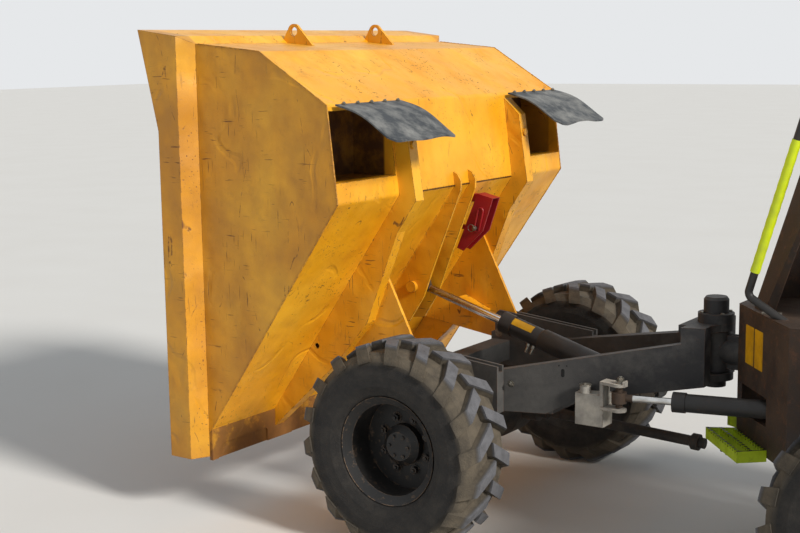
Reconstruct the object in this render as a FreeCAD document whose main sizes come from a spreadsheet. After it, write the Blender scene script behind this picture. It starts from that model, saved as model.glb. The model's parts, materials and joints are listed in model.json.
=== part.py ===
import FreeCAD, Part
import math
import operator
import os
from types import SimpleNamespace

import Sketcher
from FreeCAD import Placement, Rotation, Vector

# A site dumper: a front unit that carries the tipping skip and a rear unit with the driver's place
# and the engine, joined by an upright steering pivot. The skip is tipped forwards, as parked.
# Everything is drawn with X forwards from the front axle, Y to the machine's left and Z up from
# the ground, and is moved along X at the end so that the origin is under the middle of its length.

document = FreeCAD.newDocument("SiteDumper")

# Driving sizes: name, value in millimetres or degrees, what it is
SIZES = (
    ("rear_reach", 930, "steering pivot to rear axle"),
    ("axle_datum", 430, "height of the axles that the heights below are given for"),
    ("track_half", 760, "centreline to the middle of a tyre"),
    ("tyre_radius", 430, "axle to the lug tips, which stand on the ground"),
    ("tyre_width", 290, "across the widest part of the sidewalls"),
    ("crown_half", 100, "half the width of the tread at the lug tips"),
    ("lug_deep", 36, "tread lugs, tip to carcass"),
    ("lug_wide", 52, "tread lugs, width at the tip"),
    ("bead_radius", 194.5, "inside of the tyre on its rim"),
    ("flange_radius", 220, "outside of the rim's edge"),
    ("flange_lean", 26, "how far the rim's edges slant outwards"),
    ("rim_width", 240, "outside to outside over the rim's edges"),
    ("rim_wall", 8, "sheet of the rim"),
    ("disc_set", 20, "how far the wheel disc lies inboard of the tyre's middle"),
    ("disc_wall", 12, "sheet of the wheel disc"),
    ("hub_radius", 84, "wheel hub"),
    ("hub_inboard", 70, "tyre's middle to the hub's inner face"),
    ("hub_outboard", 36, "tyre's middle to the hub's outer face"),
    ("seat_gap", 0.3, "between a curved face and the moving piece beside it"),
    ("pin_gap", 0.1, "radial clearance of a pin in its bore"),
    ("side_gap", 6, "between a moving plate and the fixed plate beside it"),
    ("axle_radius", 55, "axle tube"),
    ("axle_flange", 90, "radius of the axle's end flange"),
    ("axle_flange_wide", 45, "length of the axle's end flange"),
    ("diff_radius", 135, "bowl of the axle's final drive"),
    ("diff_half", 70, "half the width of that bowl"),
    ("diff_slope", 110, "length of the cone from bowl to tube"),
    ("pinion_reach", 200, "axle to the end of its pinion's nose"),
    ("shaft_radius", 22, "propshaft tube"),
    ("rail_outside", 396, "centreline to the front rails' outer faces, beside the hinge"),
    ("rail_wide", 60, "width of a front rail"),
    ("rail_front", 270, "front ends of the front rails, forward of the axle"),
    ("rail_kink", -220, "where the front rails start to close in"),
    ("rail_past", 20, "steering pivot back to the rear ends of the front rails"),
    ("rail_close", 160, "centreline to the rails' outer faces at their rear ends"),
    ("rail_top", 672, "top of the front rails beside the axle"),
    ("rail_bottom", 519, "underside of the front rails beside the axle"),
    ("rail_rise_from", -140, "where the rails' tops start to rise"),
    ("rail_slope", 11.9, "rise of the rails' tops, degrees"),
    ("upright_long", 90, "length of the rails' tall rear ends"),
    ("hinge_x", 210, "skip hinge, forward of the axle"),
    ("hinge_z", 670, "skip hinge, above the ground"),
    ("hinge_pin", 20, "radius of the skip's hinge pins"),
    ("ear_radius", 55, "rounded front end of the hinge ears"),
    ("ear_front", 95, "hinge up to the top of the ears in front"),
    ("ear_back", 45, "hinge up to the top of the ears behind"),
    ("ear_wall", 12, "plate of the hinge ears"),
    ("ear_rear", -250, "rear end of the hinge ears"),
    ("cheek_wall", 16, "plate that hangs the skip on its hinge"),
    ("skip_half", 910, "centreline to the skip's side plates"),
    ("skip_sheet", 6, "sheet of the skip"),
    ("skip_bend", 25, "outside radius of the skip's folds"),
    ("mouth_x", 915, "plane of the skip's mouth"),
    ("wall_end_z", 2030, "rear wall at the mouth"),
    ("wall_x", 574, "rear wall to chamfer fold"),
    ("wall_z", 1996, "rear wall to chamfer fold"),
    ("chamfer_x", 237, "chamfer to floor fold"),
    ("chamfer_z", 1786, "chamfer to floor fold"),
    ("floor_x", 193, "floor to slope fold"),
    ("floor_z", 1400, "floor to slope fold"),
    ("slope_z", 369, "lower end of the slope at the mouth"),
    ("board_half", 985, "centreline to the side boards"),
    ("board_root", 955, "where the flare ends and the boards start"),
    ("board_side", 1070, "front edge of the side boards"),
    ("board_front", 1168, "front edge of the rear board"),
    ("board_kink", 1670, "where the side boards start to widen"),
    ("board_top", 2062, "outside of the rear board where the flare ends"),
    ("board_peak", 2091, "outside of the rear board at its front edge"),
    ("board_low", 270, "lower ends of the side boards"),
    ("board_sheet", 8, "sheet of the boards and the flare"),
    ("eye_hole", 20, "holes of the lifting eyes"),
    ("eye_x", 877, "lifting eyes, along the machine"),
    ("eye_z", 2080, "lifting eyes, above the ground"),
    ("lip_low", 255, "lower edge of the lip plate"),
    ("lip_wall", 16, "lip plate with its backing"),
    ("notch_deep", 8, "depth of the arched recesses in the lip plate"),
    ("notch_height", 62, "height of the arched recesses"),
    ("pocket_inner", 500, "wheel pockets, side nearer the centreline"),
    ("pocket_top", 1762, "wheel pockets, upper edge"),
    ("pocket_bottom", 1482, "wheel pockets, lower edge"),
    ("pocket_deep", 185, "wheel pockets, depth into the skip"),
    ("rib_middle", 460, "centreline to the middle of a rib"),
    ("rib_wide", 60, "width of a rib"),
    ("rib_sheet", 6, "sheet of the ribs"),
    ("fin_inside", 54, "centreline to the inner face of a middle fin"),
    ("fin_wall", 12, "plate of the middle fins"),
    ("ram_eye_x", 420, "tip ram's rod pin"),
    ("ram_eye_z", 933, "tip ram's rod pin"),
    ("ram_foot_set", 260, "steering pivot forward to the tip ram's rear pin"),
    ("ram_foot_z", 587, "tip ram's rear pin"),
    ("ram_barrel", 43, "radius of the tip ram's barrel"),
    ("ram_bore", 32, "bore of the tip ram"),
    ("ram_rod", 18, "radius of the tip ram's rod"),
    ("ram_barrel_long", 757, "rear pin to the open end of the barrel"),
    ("ram_eye", 38, "radius of the ram's eyes"),
    ("foot_inside", 50, "centreline to the plates that hold the tip ram's rear pin"),
    ("foot_wall", 14, "those plates"),
    ("ram_pin", 20, "radius of the rear pin"),
    ("pivot_x", -1000, "steering pivot"),
    ("pivot_pin", 30, "radius of the steering pivot's pin"),
    ("lug_radius", 72, "round ends of the pivot's lugs"),
    ("lug_low", 675, "underside of the pivot's lower lug"),
    ("lug_high", 905, "top of the pivot's upper lug"),
    ("lug_wall", 30, "thickness of the lugs"),
    ("steer_eye_set", 262, "steering pivot forward to the steering ram's rod pin"),
    ("steer_eye_y", 330, "steering ram's rod pin"),
    ("steer_foot_set", 430, "steering pivot back to the steering ram's rear pin"),
    ("steer_foot_y", 179, "steering ram's rear pin"),
    ("steer_z", 630, "height of the steering ram"),
    ("steer_barrel", 36, "radius of the steering ram's barrel"),
    ("steer_bore", 28, "bore of the steering ram"),
    ("steer_rod", 14, "radius of the steering ram's rod"),
    ("steer_barrel_long", 496, "rear pin to the open end of the barrel"),
    ("steer_eye", 30, "radius of the steering ram's eyes"),
    ("steer_pin", 14, "radius of the steering ram's pins"),
    ("chassis_half", 230, "centreline to the rear rails' outer faces"),
    ("chassis_wide", 60, "width of a rear rail"),
    ("chassis_low", 500, "underside of the rear rails"),
    ("chassis_high", 580, "top of the rear rails"),
    ("rear_overhang", 1020, "rear axle to the rearmost point"),
    ("bumper_set", 900, "rear axle back to the front face of the rear bumper"),
    ("deck_z", 1000, "top of the driver's floor"),
    ("deck_wall", 8, "plate of the floor and the nose"),
    ("cowl_fold_z", 1383, "fold across the console's sides"),
    ("cowl_high", 1600, "top of the console"),
    ("column_x", 520, "steering pivot back to the steering wheel's middle"),
    ("column_z", 1700, "steering wheel's middle, above the ground"),
    ("column_lean", 25, "lean of the steering column, degrees"),
    ("nose_set", 118, "steering pivot back to the nose's blunt front"),
    ("nose_half", 60, "half the width of the blunt front"),
    ("corner_set", 447, "steering pivot back to the corner where the nose meets the side"),
    ("body_half", 430, "centreline to the rear unit's sides"),
    ("nose_low", 470, "lower edge of the nose"),
    ("seat_set", 170, "rear axle forward to the seat box"),
    ("seat_z", 1280, "top of the seat box"),
    ("bulkhead_set", 220, "rear axle back to the rear face of the seat box, where the bonnet starts"),
    ("bonnet_half", 370, "centreline to the bonnet's sides"),
    ("bonnet_high", 1310, "top of the bonnet"),
    ("bonnet_low", 810, "lower edge of the bonnet"),
    ("bonnet_sheet", 3, "sheet of the bonnet"),
    ("bonnet_hinge_z", 790, "bonnet hinge"),
    ("rops_set", 170, "rear axle back to the roll bar"),
    ("rops_half", 475, "centreline to the middle of the roll bar's legs"),
    ("rops_tube", 30, "half the width of the roll bar's square tube"),
    ("rops_pivot_z", 1460, "roll bar's fold"),
    ("rops_high", 2560, "top of the roll bar"),
    ("rops_pin", 12, "radius of the roll bar's fold pins"),
    ("step_z", 500, "top of the steps"),
    ("step_high", 45, "height of the steps' frames"),
    ("grab_radius", 15, "grab rail tube"),
)


class Size:
    """A number, kept with the sheet formula that it comes from."""

    def __init__(self, value, formula):
        self.value = float(value)
        self.formula = formula

    def __add__(self, other):
        return combined(self, "+", other)

    def __radd__(self, other):
        return combined(other, "+", self)

    def __sub__(self, other):
        return combined(self, "-", other)

    def __rsub__(self, other):
        return combined(other, "-", self)

    def __mul__(self, other):
        return combined(self, "*", other)

    def __rmul__(self, other):
        return combined(other, "*", self)

    def __truediv__(self, other):
        return combined(self, "/", other)

    def __neg__(self):
        return combined(0, "-", self)


SIGNS = {"+": operator.add, "-": operator.sub, "*": operator.mul, "/": operator.truediv}


def as_size(number):
    """A plain number as a Size; a Size stays as it is."""
    return number if isinstance(number, Size) else Size(number, repr(float(number)))


def combined(first, sign, second):
    """Two numbers joined by one sign, in value and in formula."""
    first, second = as_size(first), as_size(second)
    value = SIGNS[sign](first.value, second.value)
    return Size(value, "(%s %s %s)" % (first.formula, sign, second.formula))


def sine(angle):
    angle = as_size(angle)
    return Size(math.sin(math.radians(angle.value)), "sin(%s)" % angle.formula)


def cosine(angle):
    angle = as_size(angle)
    return Size(math.cos(math.radians(angle.value)), "cos(%s)" % angle.formula)


def tangent(angle):
    angle = as_size(angle)
    return Size(math.tan(math.radians(angle.value)), "tan(%s)" % angle.formula)


def bearing(rise, run):
    """The angle of a line, in degrees."""
    rise, run = as_size(rise), as_size(run)
    value = math.degrees(math.atan2(rise.value, run.value))
    return Size(value, "atan2(%s; %s)" % (rise.formula, run.formula))


def span(first, second):
    """The straight distance that two offsets make."""
    first, second = as_size(first), as_size(second)
    return Size(math.hypot(first.value, second.value), "hypot(%s; %s)" % (first.formula, second.formula))


def write_sheet():
    """Put the driving sizes in the sheet and return them by name."""
    sheet = document.addObject("Spreadsheet::Sheet", "Sizes")
    sizes = SimpleNamespace()
    for row, (name, value, note) in enumerate(SIZES, 1):
        sheet.set("A%d" % row, name)
        sheet.set("B%d" % row, str(value))
        sheet.setAlias("B%d" % row, name)
        sheet.set("C%d" % row, note)
        setattr(sizes, name, Size(value, "Sizes.%s" % name))
    document.recompute()
    return sizes


g = write_sheet()

# Stations along the machine that follow from the pivot's and the rear axle's places
g.rear_x = g.pivot_x - g.rear_reach
g.rail_rear = g.pivot_x - g.rail_past
g.upright_x = g.rail_rear + g.upright_long
g.ram_foot_x = g.pivot_x + g.ram_foot_set
g.steer_eye_x = g.pivot_x + g.steer_eye_set
g.steer_foot_x = g.pivot_x - g.steer_foot_set
g.nose_x = g.pivot_x - g.nose_set
g.corner_x = g.pivot_x - g.corner_set
g.seat_x = g.rear_x + g.seat_set
g.bulkhead_x = g.rear_x - g.bulkhead_set
g.bumper_x = g.rear_x - g.bumper_set
g.rops_x = g.rear_x - g.rops_set
g.tail_x = g.rear_x - g.rear_overhang

# Where the origin lies: under the middle of the machine's whole length
origin_shift = (-g.tail_x - g.board_front) / 2

# Tread lugs round one half of a tyre
LUGS = 18

pieces = []


def bind(thing, name, size):
    """Tie one property to the sheet."""
    thing.setExpression(name, as_size(size).formula)


def lay(thing, x=0, y=0, z=0, axis=None, angle=0):
    """Put a thing at a point, turned about an axis."""
    x, y, z, angle = as_size(x), as_size(y), as_size(z), as_size(angle)
    turn = Rotation(Vector(*axis), angle.value) if axis else Rotation()
    thing.Placement = Placement(Vector(x.value, y.value, z.value), turn)
    bind(thing, "Placement.Base.x", x)
    bind(thing, "Placement.Base.y", y)
    bind(thing, "Placement.Base.z", z)
    if axis:
        bind(thing, "Placement.Rotation.Angle", angle)


def place(thing, x=0, y=0, z=0, axis=None, angle=0):
    """Put a thing at a point given from the front axle, at the height that its tyres give the machine."""
    lay(thing, as_size(x) + origin_shift, y, as_size(z) + g.tyre_radius - g.axle_datum, axis, angle)


def keep(thing, label):
    """Count a thing as one sub-part and give it its name."""
    thing.Label = label
    pieces.append(thing)
    return thing


class Body:
    """A body drawn on its own origin planes, feature by feature."""

    ROLES = {"XY": "XY_Plane", "XZ": "XZ_Plane", "YZ": "YZ_Plane"}

    def __init__(self, name):
        self.body = document.addObject("PartDesign::Body", name)
        self.body.AllowCompound = True

    def datum(self, role):
        return [item for item in self.body.Origin.OriginFeatures if item.Role == role][0]

    def sketch(self, plane, level=0):
        """An empty sketch on a plane, at a level along +Z, -Y or +X of the body."""
        sketch = self.body.newObject("Sketcher::SketchObject", "Sketch")
        sketch.AttachmentSupport = [(self.datum(self.ROLES[plane]), "")]
        sketch.MapMode = "FlatFace"
        bind(sketch, "AttachmentOffset.Base.z", level)
        return sketch

    def draw(self, sketch, outline):
        """Close a straight-sided outline whose corners are tied to the sheet."""
        corners = [(as_size(u), as_size(v)) for u, v in outline]
        count = len(corners)
        first = sketch.GeometryCount
        lines = []
        for index, (u, v) in enumerate(corners):
            after = corners[(index + 1) % count]
            lines.append(Part.LineSegment(Vector(u.value, v.value, 0), Vector(after[0].value, after[1].value, 0)))
        sketch.addGeometry(lines, False)
        ties = []
        for index, (u, v) in enumerate(corners):
            line, after = first + index, first + (index + 1) % count
            ties.append((Sketcher.Constraint("Coincident", line, 2, after, 1), None))
            ties.append((Sketcher.Constraint("DistanceX", -1, 1, line, 1, u.value), u))
            ties.append((Sketcher.Constraint("DistanceY", -1, 1, line, 1, v.value), v))
        self.tie(sketch, ties)

    def ring(self, sketch, centre, radius):
        """A circle whose centre and radius are tied to the sheet."""
        u, v, radius = as_size(centre[0]), as_size(centre[1]), as_size(radius)
        circle = sketch.addGeometry(Part.Circle(Vector(u.value, v.value, 0), Vector(0, 0, 1), radius.value), False)
        self.tie(sketch, [
            (Sketcher.Constraint("DistanceX", -1, 1, circle, 3, u.value), u),
            (Sketcher.Constraint("DistanceY", -1, 1, circle, 3, v.value), v),
            (Sketcher.Constraint("Radius", circle, radius.value), radius),
        ])

    def tie(self, sketch, ties):
        first = sketch.ConstraintCount
        sketch.addConstraint([constraint for constraint, size in ties])
        for index, (constraint, size) in enumerate(ties, first):
            if size is not None and not size.formula.replace(".", "").replace("-", "").isdigit():
                sketch.setExpression("Constraints[%d]" % index, size.formula)

    def thick(self, sketch, plane, reach, cut):
        """Pad or pocket a sketch over the reach of its third axis."""
        feature = self.body.newObject("PartDesign::Pocket" if cut else "PartDesign::Pad", "Feature")
        feature.Profile = sketch
        bind(feature, "Length", reach[1] - reach[0])
        feature.Reversed = cut
        sketch.Visibility = False
        return feature

    def level(self, plane, reach):
        """The sketch's level: features on XZ grow towards -Y, the others grow upwards or forwards."""
        low, high = sorted((as_size(reach[0]), as_size(reach[1])), key=lambda size: size.value)
        return (low, high), (-high if plane == "XZ" else low)

    def slab(self, plane, outline, reach, cut=False):
        """A straight-sided plate or cut between two levels of the third axis."""
        return self.slabs(plane, [outline], reach, cut)

    def slabs(self, plane, outlines, reach, cut=False):
        """Several plates or cuts between the same two levels."""
        reach, level = self.level(plane, reach)
        sketch = self.sketch(plane, level)
        for outline in outlines:
            self.draw(sketch, outline)
        return self.thick(sketch, plane, reach, cut)

    def disc(self, plane, centre, radius, reach, cut=False):
        """A round boss or hole between two levels of the third axis."""
        reach, level = self.level(plane, reach)
        sketch = self.sketch(plane, level)
        self.ring(sketch, centre, radius)
        return self.thick(sketch, plane, reach, cut)

    def block(self, x, y, z, cut=False):
        """A square-cornered block given by its reach along X, Y and Z."""
        outline = [(x[0], z[0]), (x[1], z[0]), (x[1], z[1]), (x[0], z[1])]
        return self.slab("XZ", outline, y, cut)

    def turned(self, plane, outline, axis, cut=False):
        """A shape turned about one of the body's own axes."""
        sketch = self.sketch(plane)
        self.draw(sketch, outline)
        feature = self.body.newObject("PartDesign::Groove" if cut else "PartDesign::Revolution", "Turned")
        feature.Profile = sketch
        feature.ReferenceAxis = (self.datum(axis + "_Axis"), "")
        feature.Angle = 360
        sketch.Visibility = False
        return feature

    def joined(self, sketches, cut=False):
        """A straight-walled shape through closed outlines on parallel planes."""
        feature = self.body.newObject("PartDesign::SubtractiveLoft" if cut else "PartDesign::AdditiveLoft", "Loft")
        feature.Profile = sketches[0]
        feature.Sections = sketches[1:]
        feature.Ruled = True
        for sketch in sketches:
            sketch.Visibility = False
        document.recompute()
        return feature

    def round_and_round(self, features, axis, count):
        """Repeat features evenly about one of the body's own axes."""
        pattern = self.body.newObject("PartDesign::PolarPattern", "Pattern")
        pattern.Originals = features
        pattern.Axis = (self.datum(axis + "_Axis"), "")
        pattern.Angle = 360
        pattern.Occurrences = count
        self.body.Tip = pattern
        return pattern

    def edges_along(self, plane, corners):
        """Names of the tip's edges that run across a plane through the given corners."""
        keep_axes = {"XY": (0, 1), "XZ": (0, 2), "YZ": (1, 2)}[plane]
        document.recompute()
        names = []
        for index, edge in enumerate(self.body.Tip.Shape.Edges, 1):
            ends = [[vertex.Point[axis] for axis in keep_axes] for vertex in edge.Vertexes]
            for u, v in corners:
                spot = (as_size(u).value, as_size(v).value)
                if len(ends) == 2 and all(math.dist(end, spot) < 0.01 for end in ends):
                    names.append("Edge%d" % index)
        return names

    def rounded(self, plane, corners, radius):
        """Round the upright edges at some corners of an outline."""
        names = self.edges_along(plane, corners)
        tip = self.body.Tip
        fillet = self.body.newObject("PartDesign::Fillet", "Fillet")
        fillet.Base = (tip, names)
        bind(fillet, "Radius", radius)
        return fillet

    def done(self, label, **where):
        place(self.body, **where)
        return keep(self.body, label)


SIDES = (("left", 1), ("right", -1))


# Wheels: a tyre on a dished rim with its hub

def tread():
    """The form that all four tyres share: a carcass with two staggered rows of lugs, turned down to its radius."""
    body = Body("Carcass")
    half = g.tyre_width / 2
    edge = g.rim_width / 2 - g.seat_gap * 2
    carcass = g.tyre_radius - g.lug_deep
    flank = [
        (edge - g.flange_lean - g.rim_wall, g.bead_radius),
        (edge - g.rim_wall, g.flange_radius),
        (half - 20, g.flange_radius + 12),
        (half - 4, g.flange_radius + 45),
        (half, g.flange_radius + 90),
        (half - 7, carcass - 30),
        (g.crown_half + 10, carcass),
    ]
    body.turned("YZ", flank + [(-across, radius) for across, radius in reversed(flank)], "Y")
    body.round_and_round([lug(body, half, 1, 0), lug(body, half, -1, 180 / LUGS)], "Y", LUGS)
    limit = document.addObject("Part::Cylinder", "TreadLimit")
    bind(limit, "Radius", g.tyre_radius)
    bind(limit, "Height", g.tyre_width + 40)
    lay(limit, y=half + 20, axis=(1, 0, 0), angle=90)
    whole = document.addObject("Part::MultiCommon", "Tread")
    whole.Shapes = [body.body, limit]
    return whole


def tyre(label, form, x, side):
    """A tyre whose lug tips touch the ground."""
    copy = document.addObject("Part::Compound", "Tyre")
    copy.Links = [form]
    place(copy, x, g.track_half * side, g.axle_datum)
    keep(copy, label)


def lug(body, half, side, turn):
    """A tread lug that slants from past the middle of the tread down to one shoulder."""
    slant, middle, inner = 0.6, half / 2, -6
    sections = []
    for radius, reach, wide in (
        (g.tyre_radius - g.lug_deep * 2, half + 3, g.lug_wide + 12),
        (g.tyre_radius + 8, g.crown_half, g.lug_wide),
    ):
        sketch = body.sketch("XY", radius * cosine(turn))
        bind(sketch, "AttachmentOffset.Base.x", radius * sine(turn))
        offset = sketch.AttachmentOffset
        offset.Rotation = Rotation(Vector(0, 1, 0), turn)
        sketch.AttachmentOffset = offset
        body.draw(sketch, [
            (slant * (middle - across) + wide / 2 * end, across * side)
            for across, end in ((inner, -1), (inner, 1), (reach, 1), (reach, -1))
        ])
        sections.append(sketch)
    return body.joined(sections)


def rim(label, x, side):
    """A rolled rim, its disc and the hub that bolts to the axle's flange."""
    body = Body("Rim")
    edge = g.rim_width / 2
    seat = g.bead_radius - g.seat_gap
    foot = edge - g.flange_lean
    disc = -g.disc_set
    outline = [
        (-edge, g.flange_radius),
        (-foot, seat - g.rim_wall),
        (disc - g.disc_wall, seat - g.rim_wall),
        (disc - g.disc_wall, g.hub_radius),
        (-g.hub_inboard, g.hub_radius),
        (-g.hub_inboard, 0),
        (g.hub_outboard, 0),
        (g.hub_outboard, g.hub_radius - 26),
        (g.hub_outboard - 22, g.hub_radius),
        (disc, g.hub_radius),
        (disc, seat - g.rim_wall),
        (foot, seat - g.rim_wall),
        (edge, g.flange_radius),
        (edge - g.rim_wall, g.flange_radius),
        (foot - g.rim_wall, seat),
        (g.rim_wall - foot, seat),
        (g.rim_wall - edge, g.flange_radius),
    ]
    body.turned("YZ", [(across * side, radius) for across, radius in outline], "Y")
    body.done(label, x=x, y=g.track_half * side, z=g.axle_datum)


def axle(label, x, saddle, saddle_top, pinion):
    """A rigid drive axle with saddles under the rails that it carries and its pinion's nose."""
    body = Body("Axle")
    end = g.track_half - g.hub_inboard - g.seat_gap
    half = [
        (end, g.axle_flange),
        (end - g.axle_flange_wide, g.axle_flange),
        (end - g.axle_flange_wide, g.axle_radius),
        (g.diff_half + g.diff_slope, g.axle_radius),
        (g.diff_half, g.diff_radius),
    ]
    other = [(-across, radius) for across, radius in reversed(half)]
    body.turned("YZ", [(end, 0)] + half + other + [(-end, 0)], "Y")
    for name, side in SIDES:
        body.block((-60, 60), (saddle[0] * side, saddle[1] * side), (0, saddle_top - g.axle_datum))
    body.disc("YZ", (0, 0), 50, (60 * pinion, g.pinion_reach * pinion))
    body.done(label, x=x, z=g.axle_datum)


def wheels_and_axles():
    form = tread()
    for end, x in (("front", as_size(0)), ("rear", g.rear_x)):
        for name, side in SIDES:
            tyre("tyre_%s_%s" % (end, name), form, x, side)
            rim("rim_%s_%s" % (end, name), x, side)
    axle("front_axle", as_size(0), (g.rail_outside - g.rail_wide, g.rail_outside), g.rail_bottom, -1)
    axle("rear_axle", g.rear_x, (g.chassis_half - g.chassis_wide, g.chassis_half), g.chassis_low, 1)


# Front unit: rails, hinge ears, cross members and the steering pivot's lugs

def rail_top_at(x):
    return g.rail_top + tangent(g.rail_slope) * (g.rail_rise_from - x)


def rail_side_at(x):
    """The outer face of a front rail behind the kink, where the rails close in."""
    slope = (g.rail_outside - g.rail_close) / (g.rail_kink - g.rail_rear)
    return g.rail_close + (x - g.rail_rear) * slope


def front_frame():
    body = Body("FrontFrame")
    tall = g.lug_high
    for name, side in SIDES:
        plan = [
            (g.rail_front - 20, g.rail_outside * side),
            (g.rail_kink, g.rail_outside * side),
            (g.rail_rear, g.rail_close * side),
            (g.rail_rear, (g.rail_close - g.rail_wide) * side),
            (g.rail_kink, (g.rail_outside - g.rail_wide) * side),
            (g.rail_front - 20, (g.rail_outside - g.rail_wide) * side),
        ]
        body.slab("XY", plan, (g.rail_bottom, tall))
    across = (-g.rail_outside, g.rail_outside)
    inside = (g.rail_wide - g.rail_outside, g.rail_outside - g.rail_wide)
    above = [
        (g.rail_front, g.rail_top),
        (g.rail_rise_from, g.rail_top),
        (g.upright_x, rail_top_at(g.upright_x)),
        (g.upright_x, tall + 10),
        (g.rail_front, tall + 10),
    ]
    below = [
        (g.rail_rear - 10, g.rail_bottom - 10),
        (g.rail_rear - 10, g.lug_low - 3),
        (-537, g.rail_bottom + 66),
        (-414, g.rail_bottom),
        (-414, g.rail_bottom - 10),
    ]
    body.slab("XZ", above, across, cut=True)
    body.slab("XZ", below, across, cut=True)
    # Cross members: under the hinge, between the axle and the ram's foot, and behind that foot
    body.block((150, 240), inside, (g.rail_bottom + 30, g.rail_top - 32))
    body.block((-440, -360), (-330, 330), (g.rail_bottom, g.rail_bottom + 75))
    foot = g.ram_foot_x - g.ram_eye - 25
    half = rail_side_at(foot) - g.rail_wide / 2
    body.block((foot - 30, foot), (-half, half), (g.ram_foot_z + 57, g.ram_foot_z + 140))
    # Lugs that hold the tip ram's rear pin
    for name, side in SIDES:
        plate = (g.foot_inside * side, (g.foot_inside + g.foot_wall) * side)
        body.slab("XZ", [
            (foot, g.ram_foot_z + 110),
            (foot, g.ram_foot_z + 57),
            (g.ram_foot_x - 10, g.ram_foot_z - 36),
            (g.ram_foot_x + 40, g.ram_foot_z - 26),
            (g.ram_foot_x + 40, g.ram_foot_z + 26),
            (g.ram_foot_x, g.ram_foot_z + 42),
        ], plate)
        body.disc("XZ", (g.ram_foot_x, g.ram_foot_z), g.ram_pin + g.pin_gap, plate, cut=True)
    # Hinge ears: two plates each side with a slot between them for the skip's cheek
    slot = g.rail_outside + g.ear_wall
    outer = slot + g.cheek_wall + g.side_gap * 2
    ear = [
        (g.hinge_x + 32, g.hinge_z + g.ear_front),
        (g.ear_rear, g.hinge_z + g.ear_back),
        (g.ear_rear, g.rail_bottom),
        (g.hinge_x - 60, g.rail_bottom),
        (g.hinge_x + g.ear_radius * 0.6, g.hinge_z - g.ear_radius * 0.8),
        (g.hinge_x + g.ear_radius, g.hinge_z),
        (g.hinge_x + g.ear_radius, g.hinge_z + g.ear_front - 20),
    ]
    for name, side in SIDES:
        for inner in (g.rail_outside, outer):
            plate = (inner * side, (inner + g.ear_wall) * side)
            body.slab("XZ", ear, plate)
            body.disc("XZ", (g.hinge_x, g.hinge_z), g.ear_radius, plate)
        gap = (slot * side, outer * side)
        body.block((g.ear_rear, g.hinge_x - 240), gap, (g.rail_bottom, g.hinge_z + 20))
        body.block((g.ear_rear, g.hinge_x - 60), gap, (g.rail_bottom, g.hinge_z - g.cheek_wall - 60))
        bore = ((g.rail_outside - g.rail_wide) * side, (outer + g.ear_wall) * side)
        body.disc("XZ", (g.hinge_x, g.hinge_z), g.hinge_pin + g.pin_gap, bore, cut=True)
    # Steering pivot: an upper and a lower lug with a bore for the upright pin
    front, rear = g.upright_x + 30, g.rail_rear + 10
    lug_plan = mirrored([
        (g.pivot_x - g.lug_radius * 0.6, g.lug_radius * 0.8),
        (rear, rail_side_at(rear) - g.rail_wide + 4),
        (front, rail_side_at(front) - g.rail_wide + 4),
    ])
    for low in (g.lug_low, g.lug_high - g.lug_wall):
        level = (low, low + g.lug_wall)
        body.slab("XY", lug_plan, level)
        body.disc("XY", (g.pivot_x, 0), g.lug_radius, level)
        body.disc("XY", (g.pivot_x, 0), g.pivot_pin + g.pin_gap, level, cut=True)
    body.done("front_frame")


def steer_bracket():
    """The bracket on the left rail that holds the steering ram's eye between two plates."""
    body = Body("SteerBracket")
    x, y, z = g.steer_eye_x, g.steer_eye_y, g.steer_z
    front, rear, web = x + 186, x + 63, x + 78
    out = y + 15
    root = [(front, rail_side_at(front) + g.seat_gap), (rear, rail_side_at(rear) + g.seat_gap)]
    body.slab("XY", root + [(rear, out), (front, out)], (z - 130, z))
    body.slab("XY", [(web, y - 45), (rear, y - 45), (rear, out), (web, out)], (z - 57, z + 57))
    plate = [(web, y - 45), (web, out), (x, y + 30), (x - 24, y + 18), (x - 24, y - 18), (x, y - 30)]
    for low in (z - 57, z + 45):
        body.slab("XY", plate, (low, low + 12))
        body.disc("XY", (x, y), 30, (low, low + 12))
    body.slab("XY", [(x - 22, y - 18), (x - 22, y + 18), (x - 30, y + 14), (x - 30, y - 14)], (z + 45, z + 68))
    body.disc("XY", (x + 148, y), 22, (z, z + 32))
    body.disc("XY", (x - 6, y), 13, (z + 57, z + 67))
    body.done("steer_bracket")


def pins():
    """Pins with round heads that hang the skip and hold the tip ram's foot, and the pivot's pin."""
    reach = g.rail_outside + g.ear_wall * 2 + g.cheek_wall + g.side_gap * 2
    body = Body("Pins")
    hinge = (g.hinge_x, g.hinge_z)
    for name, side in SIDES:
        body.disc("XZ", hinge, g.hinge_pin, ((g.rail_outside - g.rail_wide) * side, (reach + 0.1) * side))
        body.disc("XZ", hinge, g.hinge_pin + 12, ((reach + 0.1) * side, (reach + 10) * side))
    foot = (g.ram_foot_x, g.ram_foot_z)
    reach = g.foot_inside + g.foot_wall + 0.1
    body.disc("XZ", foot, g.ram_pin, (-reach, reach))
    for name, side in SIDES:
        body.disc("XZ", foot, g.ram_pin + 10, (reach * side, (reach + 8) * side))
    body.done("frame_pins")

    body = Body("PivotPin")
    top = g.lug_high + 0.1
    profile = [
        (0, g.lug_low - 30),
        (g.pivot_pin + 14, g.lug_low - 30),
        (g.pivot_pin + 14, g.lug_low - 0.1),
        (g.pivot_pin, g.lug_low - 0.1),
        (g.pivot_pin, top),
        (g.lug_radius, top),
        (g.lug_radius, top + 38),
        (50, top + 38),
        (50, top + 92),
        (42, top + 103),
        (0, top + 103),
    ]
    body.turned("XZ", profile, "Z")
    body.done("pivot_pin", x=g.pivot_x)


# Skip: a folded tub, its flare and boards, and what carries it underneath

def floor_x_at(z):
    """The floor's outer face."""
    return g.floor_x + (g.chamfer_x - g.floor_x) * (z - g.floor_z) / (g.chamfer_z - g.floor_z)


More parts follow.
